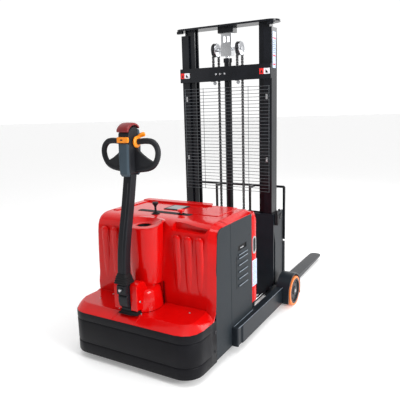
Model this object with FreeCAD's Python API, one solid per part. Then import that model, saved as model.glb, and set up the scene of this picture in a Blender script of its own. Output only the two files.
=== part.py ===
import FreeCAD, Part
import math
import os

os.makedirs("parts", exist_ok=True)
V = FreeCAD.Vector
X, Y, Z = V(1, 0, 0), V(0, 1, 0), V(0, 0, 1)

# A walk-behind reach stacker. Millimetres. X is to the operator's right, Y points along the forks, Z is up.
# The design station y = 0 lies under the hood. Everything is shifted at the end, so that the row's origin
# is on the floor, midway between the front of the bumper and the fork tips.

# ---------------------------------------------------------------- clearances
CLEAR = 0.5            # between neighbouring pieces that don't move
MOVE = 1.0             # between pieces that slide past each other
RUN = 0.05             # radial clearance of a running fit

# ---------------------------------------------------------------- chassis and hood
BODY_HALF = 448.0      # half width over the side panels
BUMPER_Y = -719.0      # front of the bumper
BUMPER_R = 115.0       # its plan corner radius
BUMPER_Z0, BUMPER_Z1 = 40.0, 302.0
BUMPER_T = 6.0
PANEL_Y0 = -449.0      # where the bumper ends and the side panels start
PANEL_SEAM = -248.0
PANEL_Y1 = 59.0
PANEL_T = 4.0
PANEL_TOP = 835.0
PANEL_EDGE = ((-449.0, 326.0), (-441.0, 426.0), (-433.0, 605.0), (-422.0, 720.0), (-412.0, 806.0), (-385.0, 832.0))
SLOT_Y0, SLOT_Y1 = -149.0, -26.0
SLOT_Z0, SLOT_Z1 = 636.0, 668.0
LOUVRE_ZS = (405.0, 455.0, 500.0, 540.0, 583.0)
LOUVRE_H = 8.0
HOOD_REAR = 134.0
HOOD_TOP = 854.0
HOOD_T = 5.0
DECK_Z = 340.0
DECK_CHAMFER = 36.0
WALL_Y_LOW, WALL_Y_TOP = -408.0, -362.0    # the recessed front wall, at the deck and at the dash
BAND_Y_LOW, BAND_Y_TOP = -448.0, -420.0    # the raised side bands
BAND_X = 367.0         # inner edge of the side bands
DASH_Y = -300.0        # front edge of the dash
HOOD_REAR_R = 45.0
RIB_XS = (174.0, 251.0, 329.0)
RIB_HALF, RIB_R, RIB_Z0, RIB_Z1 = 26.0, 20.0, 405.0, 760.0
POCKET_X0, POCKET_X1 = 124.0, 362.0
POCKET_Z0, POCKET_Z1 = 796.0, 836.0
POCKET_DEPTH = 26.0
SOCKET_Y, SOCKET_Z = 96.0, 613.0           # middle of the battery socket in the rear cover
SOCKET_HALF, SOCKET_R = 35.0, 26.0         # half the straight part of its oval, and its end radius
COLUMN_R0, COLUMN_R1 = 78.0, 112.0         # the half-round column, at its foot and at its top
CUP_Y, CUP_R, CUP_Z = -455.0, 43.0, 720.0
JOYSTICK_X, JOYSTICK_Y = -73.0, -275.0
ESTOP_X, ESTOP_Y = 82.0, -215.0
REAR_COVER_Z = 218.0
TRAY_Z = 60.0
TRAY_T = 6.0
BULKHEAD_Y = -390.0
BEAM_Y0, BEAM_Y1 = 61.0, 126.0
BEAM_TOP = 214.0

# ---------------------------------------------------------------- drive unit, tiller
DRIVE_X, DRIVE_Y = -30.0, -520.0
DRIVE_R, DRIVE_W = 115.0, 76.0
TYRE_T = 22.0
SHAFT_R = 14.0
COVER_R = 131.0
COVER_TOP = 458.0
COVER_T = 5.0
CHEEK_Y = -672.0
CHEEK_TOP = 530.0
CHEEK_IN, CHEEK_OUT = 34.0, 84.0
PIVOT_Y, PIVOT_Z, PIVOT_R = -676.0, 484.0, 11.0
TUBE_W, TUBE_D = 56.0, 54.0
TUBE_Y = -665.0        # the tube's middle where it bends back towards the hood
HEAD_TILT = 1.0
HEAD_Y, HEAD_Z = -563.0, 1156.0
HEAD_W, HEAD_D, HEAD_H = 92.0, 112.0, 238.0
HEAD_FOOT = 8.0        # the head's underside, in its own frame, where the tube ends
LOOP_HALF = 194.0      # to the middle of the grip tube
LOOP_R = 16.0
BUTTON_GAP = 8.0
THUMB_Y, THUMB_Z, THUMB_R = 7.0, 180.0, 24.0
SPIGOT_R = 10.0        # carries the thumb wheel at the inner end of each grip

# ---------------------------------------------------------------- legs and wheels
LEG_OUT = 490.0
LEG_IN = 437.0
LEG_Z0, LEG_Z1 = 50.0, 170.0
LEG_T = 10.0
LEG_WEB = 470.0        # inner face of the channel's web
LEG_SKIN_Y = 500.0     # where the leg narrows for the load wheel
LEG_END = 790.0
GUSSET_Y = -176.0
WHEEL_Y, WHEEL_R = 646.0, 113.0
WHEEL_X0, WHEEL_X1 = 487.0, 545.0
TREAD_T = 16.0
AXLE_R = 17.0
FENDER_R, FENDER_T = 138.0, 12.0
FENDER_X = 539.0
CASTER_X, CASTER_Y = 305.0, -545.0
CASTER_R, CASTER_W, CASTER_TRAIL = 62.0, 40.0, 36.0
REACH_BORE_Z = 112.0
REACH_BARREL_R, REACH_ROD_R = 26.0, 14.0
REACH_BACK = 380.0     # reach travel towards the hood

# ---------------------------------------------------------------- mast
MAST_HALF = 374.0
REACH_BORE_X = MAST_HALF - 29
MAST_Y0, MAST_Y1 = 590.0, 690.0
MAST_Z0, MAST_Z1 = 66.0, 2060.0
RAIL_T = 12.0
OUTER_FLANGE = 62.0
INNER_HALF = MAST_HALF - 24
INNER_IN = MAST_HALF - 106
INNER_Z0 = 78.0
PLATE_Z, PLATE_T, PLATE_HALF = 2094.0, 14.0, MAST_HALF + 46
PLATE_Y0, PLATE_Y1 = 557.0, 697.0
CYL_Y, CYL_R, CYL_BORE, ROD_R = 640.0, 27.5, 21.0, 17.0
CYL_TOP = 1872.0
PULLEY_X, PULLEY_R, PULLEY_W, PULLEY_Z = 100.0, 44.0, 26.0, 1938.0
CHAIN_W, CHAIN_T = 20.0, 9.0
BEAM2_Z0, BEAM2_Z1 = 1705.0, 1810.0
BEAM2_Y = 562.0
GUARD_Z0 = 880.0
GUARD_PITCH = 25.0
WIRE_R = 2.0
SIDE_X0, SIDE_X1 = MAST_HALF + 2, MAST_HALF + 18
SIDE_TOP = 712.0
SIDE_Y1 = 782.0
CROSS_T = 10.0
ROLLER_X0, ROLLER_X1 = LEG_WEB - 30, LEG_WEB - 4
ROLLER_YS = (560.0, 735.0)

# ---------------------------------------------------------------- carriage and forks
BAR_Y0, BAR_Y1 = 758.0, 782.0
BAR_HALF = MAST_HALF - 8
BAR_LOW, BAR_HIGH = (100.0, 170.0), (370.0, 440.0)
ARM_X0, ARM_X1 = INNER_IN - 32, INNER_IN - 14
CAR_ROLLER_R = 17.3
CAR_ROLLER_ZS = (190.0, 560.0)
REST_HALF, REST_Y0, REST_Y1 = BAR_HALF + 37, 788.0, 804.0
EAR_Z0, EAR_Z1 = 600.0, 640.0
REST_TOP, REST_LOW = 898.0, 470.0
REST_TUBE = 17.0
REST_BRACE_X = 148.0
FORK_X0, FORK_X1 = BAR_HALF - 71, BAR_HALF + 34
FORK_T = 34.0
FORK_TIP = 1850.0
FORK_TOP_Z = 48.0
FORK_SHANK_Y0 = 786.0
FORK_SHANK_Z1 = 452.0
FORK_HOOK_X1 = BAR_HALF

ORIGIN_Y = (BUMPER_Y + FORK_TIP) / 2
SIDES = (("left", -1), ("right", 1))


# ---------------------------------------------------------------- helpers
def box(x0, x1, y0, y1, z0, z1):
    return Part.makeBox(x1 - x0, y1 - y0, z1 - z0, V(x0, y0, z0))


def rod(start, axis, radius, length):
    return Part.makeCylinder(radius, length, start, axis)


def tube(start, axis, outer, inner, length):
    return rod(start, axis, outer, length).cut(rod(start, axis, inner, length))


def slab(points, axis, start, depth):
    """A closed outline given as (u, v) pairs, pushed along axis from start.
    The pairs are (y, z) along X, (x, z) along Y and (x, y) along Z."""
    if axis is X:
        corners = [V(start, u, v) for u, v in points]
    elif axis is Y:
        corners = [V(u, start, v) for u, v in points]
    else:
        corners = [V(u, v, start) for u, v in points]
    face = Part.Face(Part.makePolygon(corners + corners[:1]))
    return face.extrude(axis * depth)


def fuse(first, *others):
    return first.multiFuse(list(others)).removeSplitter()


def mirrored(shape):
    return shape.mirror(V(0, 0, 0), X)


def sided(shape, side):
    return shape if side > 0 else mirrored(shape)


def rounded(shape, radius, direction, test=None):
    """Rounds the straight edges that run along direction and whose middle passes test."""
    edges = []
    for edge in shape.Edges:
        if not isinstance(edge.Curve, Part.Line):
            continue
        along = (edge.Vertexes[-1].Point - edge.Vertexes[0].Point).normalize()
        middle = edge.valueAt((edge.FirstParameter + edge.LastParameter) / 2)
        if abs(along.dot(direction)) > 0.999 and (test is None or test(middle)):
            edges.append(edge)
    return shape.makeFillet(radius, edges)


def save(name, *shapes):
    solids = [s for shape in shapes for s in shape.Solids]
    group = solids[0] if len(solids) == 1 else Part.makeCompound(solids)
    group = group.copy()
    group.translate(V(0, -ORIGIN_Y, 0))
    group.exportStep("parts/" + name + ".step")
    print(name, len(solids), [round(v) for v in (group.Volume, group.BoundBox.XLength)], group.isValid())


# ---------------------------------------------------------------- chassis
def body_plan(half, front, radius, back, z0, z1):
    """A block with rounded front corners in plan."""
    block = box(-half, half, front, back, z0, z1)
    return rounded(block, radius, Z, lambda m: m.y < front + 1)


def chassis_frame():
    inner = BODY_HALF - BUMPER_T - CLEAR
    deck = body_plan(inner, BUMPER_Y + BUMPER_T + CLEAR, BUMPER_R - BUMPER_T, BULKHEAD_Y,
                     BUMPER_Z1 - 8 - CLEAR, BUMPER_Z1 - CLEAR)
    deck = deck.cut(rod(V(DRIVE_X, DRIVE_Y, BUMPER_Z0), Z, 62, BUMPER_Z1))
    for side in (-1, 1):
        deck = deck.cut(rod(V(side * CASTER_X, CASTER_Y, BUMPER_Z0), Z, 16 + RUN, BUMPER_Z1))
    wall = box(-inner + 8, inner - 8, BULKHEAD_Y - 6, BULKHEAD_Y, TRAY_Z, BUMPER_Z1 - CLEAR)
    tray = box(-LEG_IN + 10, LEG_IN - 10, BULKHEAD_Y, BEAM_Y0, TRAY_Z, TRAY_Z + TRAY_T)
    beam = box(-LEG_IN + 2, LEG_IN - 2, BEAM_Y0, BEAM_Y1, TRAY_Z, BEAM_TOP)
    frame = fuse(deck, wall, tray, beam)
    for side in (-1, 1):
        hole = rod(V(side * REACH_BORE_X, BEAM_Y0 - 1, REACH_BORE_Z), Y, REACH_BARREL_R + CLEAR, BEAM_Y1)
        frame = frame.cut(hole)
    return frame


def bumper():
    skirt = body_plan(BODY_HALF, BUMPER_Y, BUMPER_R, PANEL_Y0 - CLEAR, BUMPER_Z0, BUMPER_Z1)
    hollow = body_plan(BODY_HALF - BUMPER_T, BUMPER_Y + BUMPER_T, BUMPER_R - BUMPER_T, 0, 0, 2 * BUMPER_Z1)
    return skirt.cut(hollow)


def front_side_panel():
    x0 = BODY_HALF - PANEL_T
    seam = PANEL_SEAM - CLEAR
    outline = [(PANEL_Y0, LEG_Z0), (seam, LEG_Z0), (seam, PANEL_TOP), (PANEL_EDGE[-1][0] + 30, PANEL_TOP)]
    return slab(outline + list(reversed(PANEL_EDGE)), X, x0, PANEL_T)


def rear_side_panel():
    x0 = BODY_HALF - PANEL_T
    panel = box(x0, BODY_HALF, PANEL_SEAM + CLEAR, PANEL_Y1, LEG_Z1 + CLEAR, PANEL_TOP)
    slot = box(x0 - 1, BODY_HALF + 1, SLOT_Y0, SLOT_Y1, SLOT_Z0, SLOT_Z1)
    louvres = [box(x0 - 1, BODY_HALF + 1, SLOT_Y0, SLOT_Y1, z, z + LOUVRE_H) for z in LOUVRE_ZS]
    return panel.cut(slot).cut(Part.makeCompound(louvres))


# ---------------------------------------------------------------- hood
def hood_deck():
    front = BUMPER_Y
    outer = body_plan(BODY_HALF, front, BUMPER_R, WALL_Y_LOW, BUMPER_Z1 + CLEAR, DECK_Z)
    rim = [e for e in outer.Edges
           if abs(e.BoundBox.ZMin - DECK_Z) < 0.01 and abs(e.BoundBox.ZMax - DECK_Z) < 0.01
           and e.BoundBox.YMin < WALL_Y_LOW - 1]
    outer = outer.makeChamfer(DECK_CHAMFER, rim)
    under = body_plan(BODY_HALF - 45, front + 45, BUMPER_R - 40, WALL_Y_LOW + 1, 0, DECK_Z - HOOD_T)
    hole = rod(V(DRIVE_X, DRIVE_Y, 0), Z, 62, DECK_Z + 1)
    side = box(BODY_HALF - PANEL_T - CLEAR, BODY_HALF + 1, PANEL_Y0 - CLEAR, 0, 0, DECK_Z + 1)
    return outer.cut(under).cut(hole).cut(side).cut(mirrored(side))


def hood_side_profile(inset, front_low, front_top):
    """The hood's outline seen from the side, front leaning back, with a rounded top at both ends."""
    z0, z1 = DECK_Z + CLEAR, HOOD_TOP - inset
    rear = HOOD_REAR - inset
    corner = 70.0 - inset
    back = HOOD_REAR_R - inset
    bend = math.sqrt(0.5)
    front = front_top + inset
    a, b = V(0, front_low + inset, z0), V(0, front, z1 - corner)
    c = V(0, front + corner, z1)
    mid = V(0, front + corner * (1 - bend), z1 - corner * (1 - bend))
    d, e = V(0, rear - back, z1), V(0, rear, z1 - back)
    mid2 = V(0, rear - back * (1 - bend), z1 - back * (1 - bend))
    f = V(0, rear, z0)
    edges = [Part.LineSegment(a, b).toShape(), Part.Arc(b, mid, c).toShape(), Part.LineSegment(c, d).toShape(),
             Part.Arc(d, mid2, e).toShape(), Part.LineSegment(e, f).toShape(), Part.LineSegment(f, a).toShape()]
    return Part.Face(Part.Wire(edges))


def across(face, half):
    solid = face.extrude(X * (2 * half))
    solid.translate(V(-half, 0, 0))
    return solid


def hood_body():
    outer = across(hood_side_profile(0, BAND_Y_LOW, BAND_Y_TOP), BODY_HALF)
    inner = across(hood_side_profile(HOOD_T, WALL_Y_LOW, WALL_Y_TOP), BODY_HALF - PANEL_T - HOOD_T)
    recess_face = slab([(BAND_Y_LOW - 50, 0), (WALL_Y_LOW, DECK_Z), (WALL_Y_TOP, 790),
                        (DASH_Y, HOOD_TOP + 1), (BAND_Y_LOW - 50, HOOD_TOP + 1)],
                       X, -BAND_X, 2 * BAND_X)
    shell = outer.cut(recess_face)
    roof_wall = slab([(WALL_Y_LOW + HOOD_T, 0), (WALL_Y_LOW + HOOD_T, DECK_Z), (WALL_Y_TOP + HOOD_T, 790),
                      (DASH_Y + HOOD_T, HOOD_TOP - HOOD_T), (HOOD_REAR, HOOD_TOP - HOOD_T), (HOOD_REAR, 0)],
                     X, -BODY_HALF, 2 * BODY_HALF)
    shell = shell.cut(inner.common(roof_wall))
    for side in (-1, 1):
        x = side * (BODY_HALF - PANEL_T - CLEAR)
        low, high = min(x, side * (BODY_HALF + 1)), max(x, side * (BODY_HALF + 1))
        shell = shell.cut(box(low, high, PANEL_Y0 - 0.5, PANEL_Y1 + 300, 0, PANEL_TOP + CLEAR))
    shell = shell.cut(box(-BODY_HALF - 1, BODY_HALF + 1, PANEL_Y1 + CLEAR, HOOD_REAR + 1, 0, PANEL_TOP + CLEAR))
    shell = shell.cut(rod(V(DRIVE_X, DRIVE_Y, 0), Z, COVER_R + 6, COVER_TOP + 20))
    for side in (-1, 1):
        ribs = []
        for centre in RIB_XS:
            block = box(centre - RIB_HALF, centre + RIB_HALF, WALL_Y_LOW - 8, WALL_Y_TOP + 2, RIB_Z0, RIB_Z1)
            ribs.append(rounded(block, RIB_R, Y))
        shell = fuse(shell, *[sided(r, side).common(rib_layer()) for r in ribs])
    back = WALL_Y_TOP + POCKET_DEPTH
    wall = HOOD_T
    pocket = box(POCKET_X0, POCKET_X1, WALL_Y_TOP - 40, back, POCKET_Z0, POCKET_Z1)
    liner = box(POCKET_X0 - wall, POCKET_X1 + wall, WALL_Y_TOP - 1, back + wall, POCKET_Z0 - wall, POCKET_Z1 + wall)
    within = across(hood_side_profile(0, WALL_Y_LOW, WALL_Y_TOP), BODY_HALF - 20)
    return fuse(shell, liner.common(within).cut(recess_face)).cut(pocket)


def rib_layer():
    """The raised skin, 7 mm proud of the leaning wall."""
    return slab([(WALL_Y_LOW - 7, DECK_Z), (WALL_Y_TOP - 7, 790), (WALL_Y_TOP + 2, 790), (WALL_Y_LOW + 2, DECK_Z)],
                X, -BAND_X, 2 * BAND_X)


def rear_cover():
    outer = box(-BODY_HALF + CLEAR, BODY_HALF - CLEAR, PANEL_Y1 + CLEAR, HOOD_REAR, REAR_COVER_Z, PANEL_TOP)
    outer = rounded(outer, 26, Z, lambda m: m.y > HOOD_REAR - 1)
    inner = box(-BODY_HALF + HOOD_T, BODY_HALF - HOOD_T, 0, HOOD_REAR - HOOD_T, 0, HOOD_TOP + 50)
    inner = rounded(inner, 22, Z, lambda m: m.y > HOOD_REAR - HOOD_T - 1)
    return outer.cut(inner).cut(socket_oval(0, SOCKET_R + CLEAR, BODY_HALF + 10))


def socket_oval(start, radius, length):
    """An upright oval pushed along X from start."""
    low, high = SOCKET_Z - SOCKET_HALF, SOCKET_Z + SOCKET_HALF
    return fuse(rod(V(start, SOCKET_Y, low), X, radius, length), rod(V(start, SOCKET_Y, high), X, radius, length),
                box(start, start + length, SOCKET_Y - radius, SOCKET_Y + radius, low, high))


def charging_socket():
    start = BODY_HALF - 30
    return socket_oval(start, SOCKET_R, 34).cut(socket_oval(start + 4, SOCKET_R - 6, 40))


def centre_column():
    """The half-round column in front of the wall, which narrows downwards and slopes at the top."""
    low = Part.Wire(Part.makeCircle(COLUMN_R0, V(DRIVE_X, WALL_Y_LOW - 16, CUP_Z - 242), Z))
    high = Part.Wire(Part.makeCircle(COLUMN_R1, V(DRIVE_X, WALL_Y_LOW - 4, HOOD_TOP - 4), Z))
    cone = Part.makeLoft([low, high], True)
    front = slab([(-700, 300), (WALL_Y_LOW - CLEAR, 300), (WALL_Y_LOW - CLEAR, DECK_Z),
                  (WALL_Y_TOP - CLEAR, 790), (-700, 790)], X, -200, 400)
    lift = slab([(-700, 700), (-520, 815), (WALL_Y_TOP - CLEAR, 840), (WALL_Y_TOP - CLEAR, 1000), (-700, 1000)],
                X, -200, 400)
    foot = slab([(-700, 300), (-700, 500), (-440, 480), (-380, 300)], X, -200, 400)
    column = cone.common(front).cut(lift).cut(foot)
    hollow = rod(V(DRIVE_X, CUP_Y, CUP_Z), Z, CUP_R, 200)
    return column.cut(hollow)


def cup_liner():
    start = V(DRIVE_X, CUP_Y, CUP_Z + MOVE)
    return rod(start, Z, CUP_R - CLEAR, 68).cut(rod(start + Z * 4, Z, CUP_R - 4, 90))


# ---------------------------------------------------------------- what the hood covers
def battery():
    case = rounded(box(-300, 300, -170, 45, TRAY_Z + TRAY_T, 560), 8, Z)
    posts = [rod(V(x, -60, 559), Z, 11, 22) for x in (-250, 250)]
    return fuse(case, *posts)


def hydraulic_tank():
    case = rounded(box(70, 300, -380, -200, TRAY_Z + TRAY_T, 330), 18, Z)
    filler = rod(V(240, -290, 329), Z, 24, 32)
    return fuse(case, filler)


def pump_motor():
    base = TRAY_Z + TRAY_T
    return fuse(box(-230, 60, -350, -230, base, base + 60), rod(V(-150, -290, base + 50), Z, 58, 210),
                rod(V(-10, -290, base + 50), Z, 32, 120))


def motor_controller():
    case = box(-160, 160, -345, -300, 380, 560)
    fins = [box(-150 + 30 * i, -144 + 30 * i, -301, -282, 385, 555) for i in range(11)]
    return fuse(case, *fins)


def display():
    return rounded(box(-96, 6, -120, -10, HOOD_TOP + CLEAR, HOOD_TOP + 4), 6, Z)


def dash_fittings():
    """The joystick's collar and the red switch's collar."""
    z = HOOD_TOP + CLEAR
    return [tube(V(JOYSTICK_X, JOYSTICK_Y, z), Z, 26, 11, 5), tube(V(ESTOP_X, ESTOP_Y, z), Z, 24, 9, 6)]


def joystick():
    stem = rod(V(JOYSTICK_X, JOYSTICK_Y, HOOD_TOP + 2), Z, 6, 60)
    knob = Part.makeSphere(15, V(JOYSTICK_X, JOYSTICK_Y, HOOD_TOP + 66))
    pivot = rod(V(JOYSTICK_X - 8, JOYSTICK_Y, HOOD_TOP + 6), X, 5, 16)
    return fuse(stem, knob, pivot)


def estop_button():
    stem = rod(V(ESTOP_X, ESTOP_Y, HOOD_TOP + 6), Z, 7, 16)
    cap = rod(V(ESTOP_X, ESTOP_Y, HOOD_TOP + 16), Z, 21, 14)
    return fuse(stem, cap.makeFillet(5, cap.Edges))


# ---------------------------------------------------------------- legs and load wheels
def leg():
    """A channel open to the inside, with an outer skin up to the wheel and a fender over the wheel."""
    web_x1 = LEG_WEB + LEG_T + 2
    start = PANEL_Y0 + 201
    web = box(LEG_WEB, web_x1, start, LEG_END, LEG_Z0, LEG_Z1)
    top = box(LEG_IN, LEG_WEB + 1, start, LEG_END, LEG_Z1 - LEG_T, LEG_Z1)
    low = box(LEG_IN, LEG_WEB + 1, start, LEG_END, LEG_Z0, LEG_Z0 + LEG_T)
    skin = slab([(BODY_HALF + CLEAR, start), (web_x1 - 4, start), (web_x1 - 4, LEG_SKIN_Y), (LEG_OUT, LEG_SKIN_Y),
                 (LEG_OUT, GUSSET_Y)], Z, LEG_Z0, LEG_Z1 - LEG_Z0)
    stub = rod(V(web_x1 - 1, WHEEL_Y, WHEEL_R), X, AXLE_R, WHEEL_X1 - web_x1 - 2)
    shape = fuse(web, top, low, skin, stub, fender())
    return shape


def fender():
    x0 = LEG_WEB + LEG_T + 1
    dome = rod(V(x0, WHEEL_Y, WHEEL_R), X, FENDER_R, FENDER_X - x0)
    sides = box(x0, FENDER_X, WHEEL_Y - FENDER_R, WHEEL_Y + FENDER_R, LEG_Z0, WHEEL_R)
    whole = fuse(dome.cut(box(0, 900, 0, 2000, 0, WHEEL_R)), sides)
    room = FENDER_R - FENDER_T
    hollow = fuse(rod(V(x0 - 1, WHEEL_Y, WHEEL_R), X, room, FENDER_X),
                  box(x0 - 1, FENDER_X + 1, WHEEL_Y - room, WHEEL_Y + room, 0, WHEEL_R))
    cap = rod(V(LEG_IN, WHEEL_Y, WHEEL_R), X, FENDER_R, x0 + 2 - LEG_IN).cut(box(0, 900, 0, 2000, 0, LEG_Z1 - 1))
    return fuse(whole.cut(hollow), cap)


def load_wheel():
    rim = tube(V(WHEEL_X0, WHEEL_Y, WHEEL_R), X, WHEEL_R - TREAD_T, AXLE_R + RUN, WHEEL_X1 - WHEEL_X0)
    dish = tube(V(WHEEL_X1 - 12, WHEEL_Y, WHEEL_R), X, WHEEL_R - TREAD_T - 14, 34, 13)
    return rim.cut(dish)


def load_tread():
    tread = tube(V(WHEEL_X0, WHEEL_Y, WHEEL_R), X, WHEEL_R, WHEEL_R - TREAD_T, WHEEL_X1 - WHEEL_X0)
    rim_edges = [e for e in tread.Edges if abs(e.BoundBox.YLength - 2 * WHEEL_R) < 1 and e.BoundBox.XLength < 1]
    return tread.makeFillet(4, rim_edges)


# ---------------------------------------------------------------- casters
def caster_fork():
    hub_z = BUMPER_Z1 - 60
    stem = rod(V(CASTER_X, CASTER_Y, hub_z), Z, 16, 56)
    head = rod(V(CASTER_X, CASTER_Y, hub_z - 12), Z, 40, 30)
    half = CASTER_W / 2 + 3
    wheel_y = CASTER_Y + CASTER_TRAIL
    cheeks = []
    for x in (CASTER_X - half - 5, CASTER_X + half):
        cheeks.append(slab([(CASTER_Y - 26, hub_z - 6), (CASTER_Y + 34, hub_z - 6), (wheel_y + 18, CASTER_R - 14),
                            (wheel_y - 18, CASTER_R - 14)], X, x, 5))
    yoke = box(CASTER_X - half - 5, CASTER_X + half + 5, CASTER_Y - 26, CASTER_Y + 34, hub_z - 12, hub_z - 4)
    axle = rod(V(CASTER_X - half - 8, wheel_y, CASTER_R), X, 8, 2 * half + 16)
    return fuse(stem, head, yoke, axle, *cheeks)


def caster_wheel():
    start = V(CASTER_X - CASTER_W / 2, CASTER_Y + CASTER_TRAIL, CASTER_R)
    wheel = rod(start, X, CASTER_R, CASTER_W)
    wheel = wheel.makeFillet(6, [e for e in wheel.Edges if e.BoundBox.XLength < 1])
    return wheel.cut(rod(start - X, X, 8 + RUN, CASTER_W + 2))


# ---------------------------------------------------------------- drive unit
def drive_gearbox():
    half = DRIVE_W / 2 + 5
    case = rounded(box(DRIVE_X + half, DRIVE_X + half + 34, DRIVE_Y - 60, DRIVE_Y + 60, 48, 262), 24, X)
    ring = rod(V(DRIVE_X, DRIVE_Y, 250), Z, 98, 26)
    neck = rod(V(DRIVE_X, DRIVE_Y, 270), Z, 54, DECK_Z + 8 - 270)
    axle = rod(V(DRIVE_X - DRIVE_W / 2, DRIVE_Y, DRIVE_R), X, SHAFT_R, DRIVE_W + 10)
    return fuse(case, ring, neck, axle)


def traction_motor():
    z = DECK_Z + 8 + CLEAR
    return fuse(rod(V(DRIVE_X, DRIVE_Y, z), Z, 66, 78), rod(V(DRIVE_X, DRIVE_Y, z + 77), Z, 48, 16))


def steering_cover():
    z0 = DECK_Z + 3
    centre = V(DRIVE_X, DRIVE_Y, z0)
    dome = rod(centre, Z, COVER_R, COVER_TOP - z0)
    dome = dome.makeFillet(18, [e for e in dome.Edges if e.BoundBox.ZMin > COVER_TOP - 1])
    hollow = rod(centre - Z, Z, COVER_R - COVER_T, COVER_TOP - z0 - COVER_T)
    cheeks = []
    for side in (-1, 1):
        low, high = sorted((DRIVE_X + side * CHEEK_IN, DRIVE_X + side * CHEEK_OUT))
        block = slab([(DRIVE_Y - 60, z0), (CHEEK_Y, z0), (CHEEK_Y, CHEEK_TOP - 8), (CHEEK_Y + 14, CHEEK_TOP),
                      (-590, CHEEK_TOP - 2), (-574, COVER_TOP - 12), (DRIVE_Y - 60, COVER_TOP - 12)],
                     X, low, high - low)
        cheeks.append(block)
    gap = box(DRIVE_X - CHEEK_IN, DRIVE_X + CHEEK_IN, CHEEK_Y - 50, DRIVE_Y - 60, z0 - 1, CHEEK_TOP + 50)
    arch = rod(V(-200, CHEEK_Y - 4, z0 - 14), X, 46, 400)
    return fuse(dome, *cheeks).cut(hollow).cut(gap).cut(arch)


def tiller_bracket():
    """The black bracket between the cheeks, with the pivot pin."""
    z0 = DECK_Z + 4
    ears = []
    for x in (DRIVE_X - CHEEK_IN + 1, DRIVE_X + CHEEK_IN - 7):
        ear = slab([(-596, z0), (-596, 430), (PIVOT_Y + 22, PIVOT_Z + 16), (PIVOT_Y - 16, PIVOT_Z + 16),
                    (PIVOT_Y - 18, PIVOT_Z - 30), (CHEEK_Y + 10, z0)], X, x, 6)
        ears.append(ear)
    back = box(DRIVE_X - CHEEK_IN + 1, DRIVE_X + CHEEK_IN - 1, -602, -590, z0, 430)
    floor = box(DRIVE_X - CHEEK_IN + 1, DRIVE_X + CHEEK_IN - 1, CHEEK_Y + 10, -590, z0, z0 + 8)
    pin = rod(V(DRIVE_X - CHEEK_IN + 1, PIVOT_Y, PIVOT_Z), X, PIVOT_R, 2 * CHEEK_IN - 2)
    return fuse(back, floor, pin, *ears)


def drive_wheel():
    start = V(DRIVE_X - DRIVE_W / 2, DRIVE_Y, DRIVE_R)
    return tube(start, X, DRIVE_R - TYRE_T, SHAFT_R + RUN, DRIVE_W)


def drive_tyre():
    start = V(DRIVE_X - DRIVE_W / 2, DRIVE_Y, DRIVE_R)
    return tube(start, X, DRIVE_R, DRIVE_R - TYRE_T, DRIVE_W)


# ---------------------------------------------------------------- tiller
def tiller_tube():
    """A square tube, upright at the foot, that leans towards the hood above a gentle bend."""
    points = [(PIVOT_Y, PIVOT_Z - 20), (TUBE_Y, 668), (TUBE_Y + 9, 740), (HEAD_Y, HEAD_Z + 26)]
    half = TUBE_D / 2
    path = [V(0, y, z) for y, z in points]
    left, right = [], []
    for i, p in enumerate(path):
        before, after = path[max(i - 1, 0)], path[min(i + 1, len(path) - 1)]
        along = (after - before).normalize()
        across_y = V(0, along.z, -along.y)
        left.append(p - across_y * half)
        right.append(p + across_y * half)
    spline_left, spline_right = Part.BSplineCurve(), Part.BSplineCurve()
    spline_left.interpolate(left)
    spline_right.interpolate(right)
    edges = [spline_left.toShape(), Part.LineSegment(left[-1], right[-1]).toShape(),
             spline_right.toShape(), Part.LineSegment(right[0], left[0]).toShape()]
    face = Part.Face(Part.Wire(Part.__sortEdges__(edges)))
    width = TUBE_W - 4
    solid = face.extrude(X * width)
    solid.translate(V(DRIVE_X - width / 2, 0, 0))
    head_space = place_head(box(-HEAD_W, HEAD_W, -HEAD_D, HEAD_D, HEAD_FOOT, HEAD_H))
    return solid.cut(rod(V(DRIVE_X - 100, PIVOT_Y, PIVOT_Z), X, PIVOT_R + RUN, 200)).cut(head_space)


def place_head(shape):
    """From the head's own frame (z along the tiller) into the machine."""
    shape = shape.copy()
    shape.rotate(V(0, 0, 0), X, -HEAD_TILT)
    shape.translate(V(DRIVE_X, HEAD_Y, HEAD_Z))
    return shape


def tiller_head():
    half, depth = HEAD_W / 2, HEAD_D / 2
    body = rounded(box(-half, half, -depth + 8, depth - 8, HEAD_FOOT, HEAD_H), 14, Z)
    stem = rod(V(0, 0, HEAD_H - 1), Z, 9, 26)
    return place_head(fuse(body, stem))


def head_panels():
    depth = HEAD_D / 2
    front = box(-38, 38, -depth - 2, -depth + 8 - CLEAR, 10, 172)
    rear = box(-38, 38, depth - 8 + CLEAR, depth + 2, 10, 210)
    return [place_head(front), place_head(rear)]


def handle_loops():
    """Two closed grips, one each side of the head, with a web in the lower half."""
    half = HEAD_W / 2 + CLEAR
    shoulder = half + 18
    loops = []
    for side in (-1, 1):
        turns = [(shoulder, THUMB_Z), (120, 186), (LOOP_HALF - 22, 172), (LOOP_HALF, 128), (LOOP_HALF - 12, 78),
                 (LOOP_HALF - 60, 38), (half, 24)]
        points = [V(side * x, THUMB_Y, z) for x, z in turns]
        curve = Part.BSplineCurve()
        curve.interpolate(points)
        wire = Part.Wire(curve.toShape())
        ring = Part.Wire(Part.makeCircle(LOOP_R, points[0], curve.tangent(curve.FirstParameter)[0]))
        grip = wire.makePipeShell([ring], True, False)
        web = slab([(side * half, 24), (side * half, 116), (side * (LOOP_HALF - 92), 86), (side * (LOOP_HALF - 12), 78),
                    (side * (LOOP_HALF - 60), 38)], Y, 0, 16)
        near = box(*sorted((side * half, side * 400)), -60, 60, -50, 300)
        spigot = rod(V(side * half, THUMB_Y, THUMB_Z), X * side, SPIGOT_R, 20)
        loops.append(place_head(fuse(fuse(grip, web).common(near), spigot)))
    return loops


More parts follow.
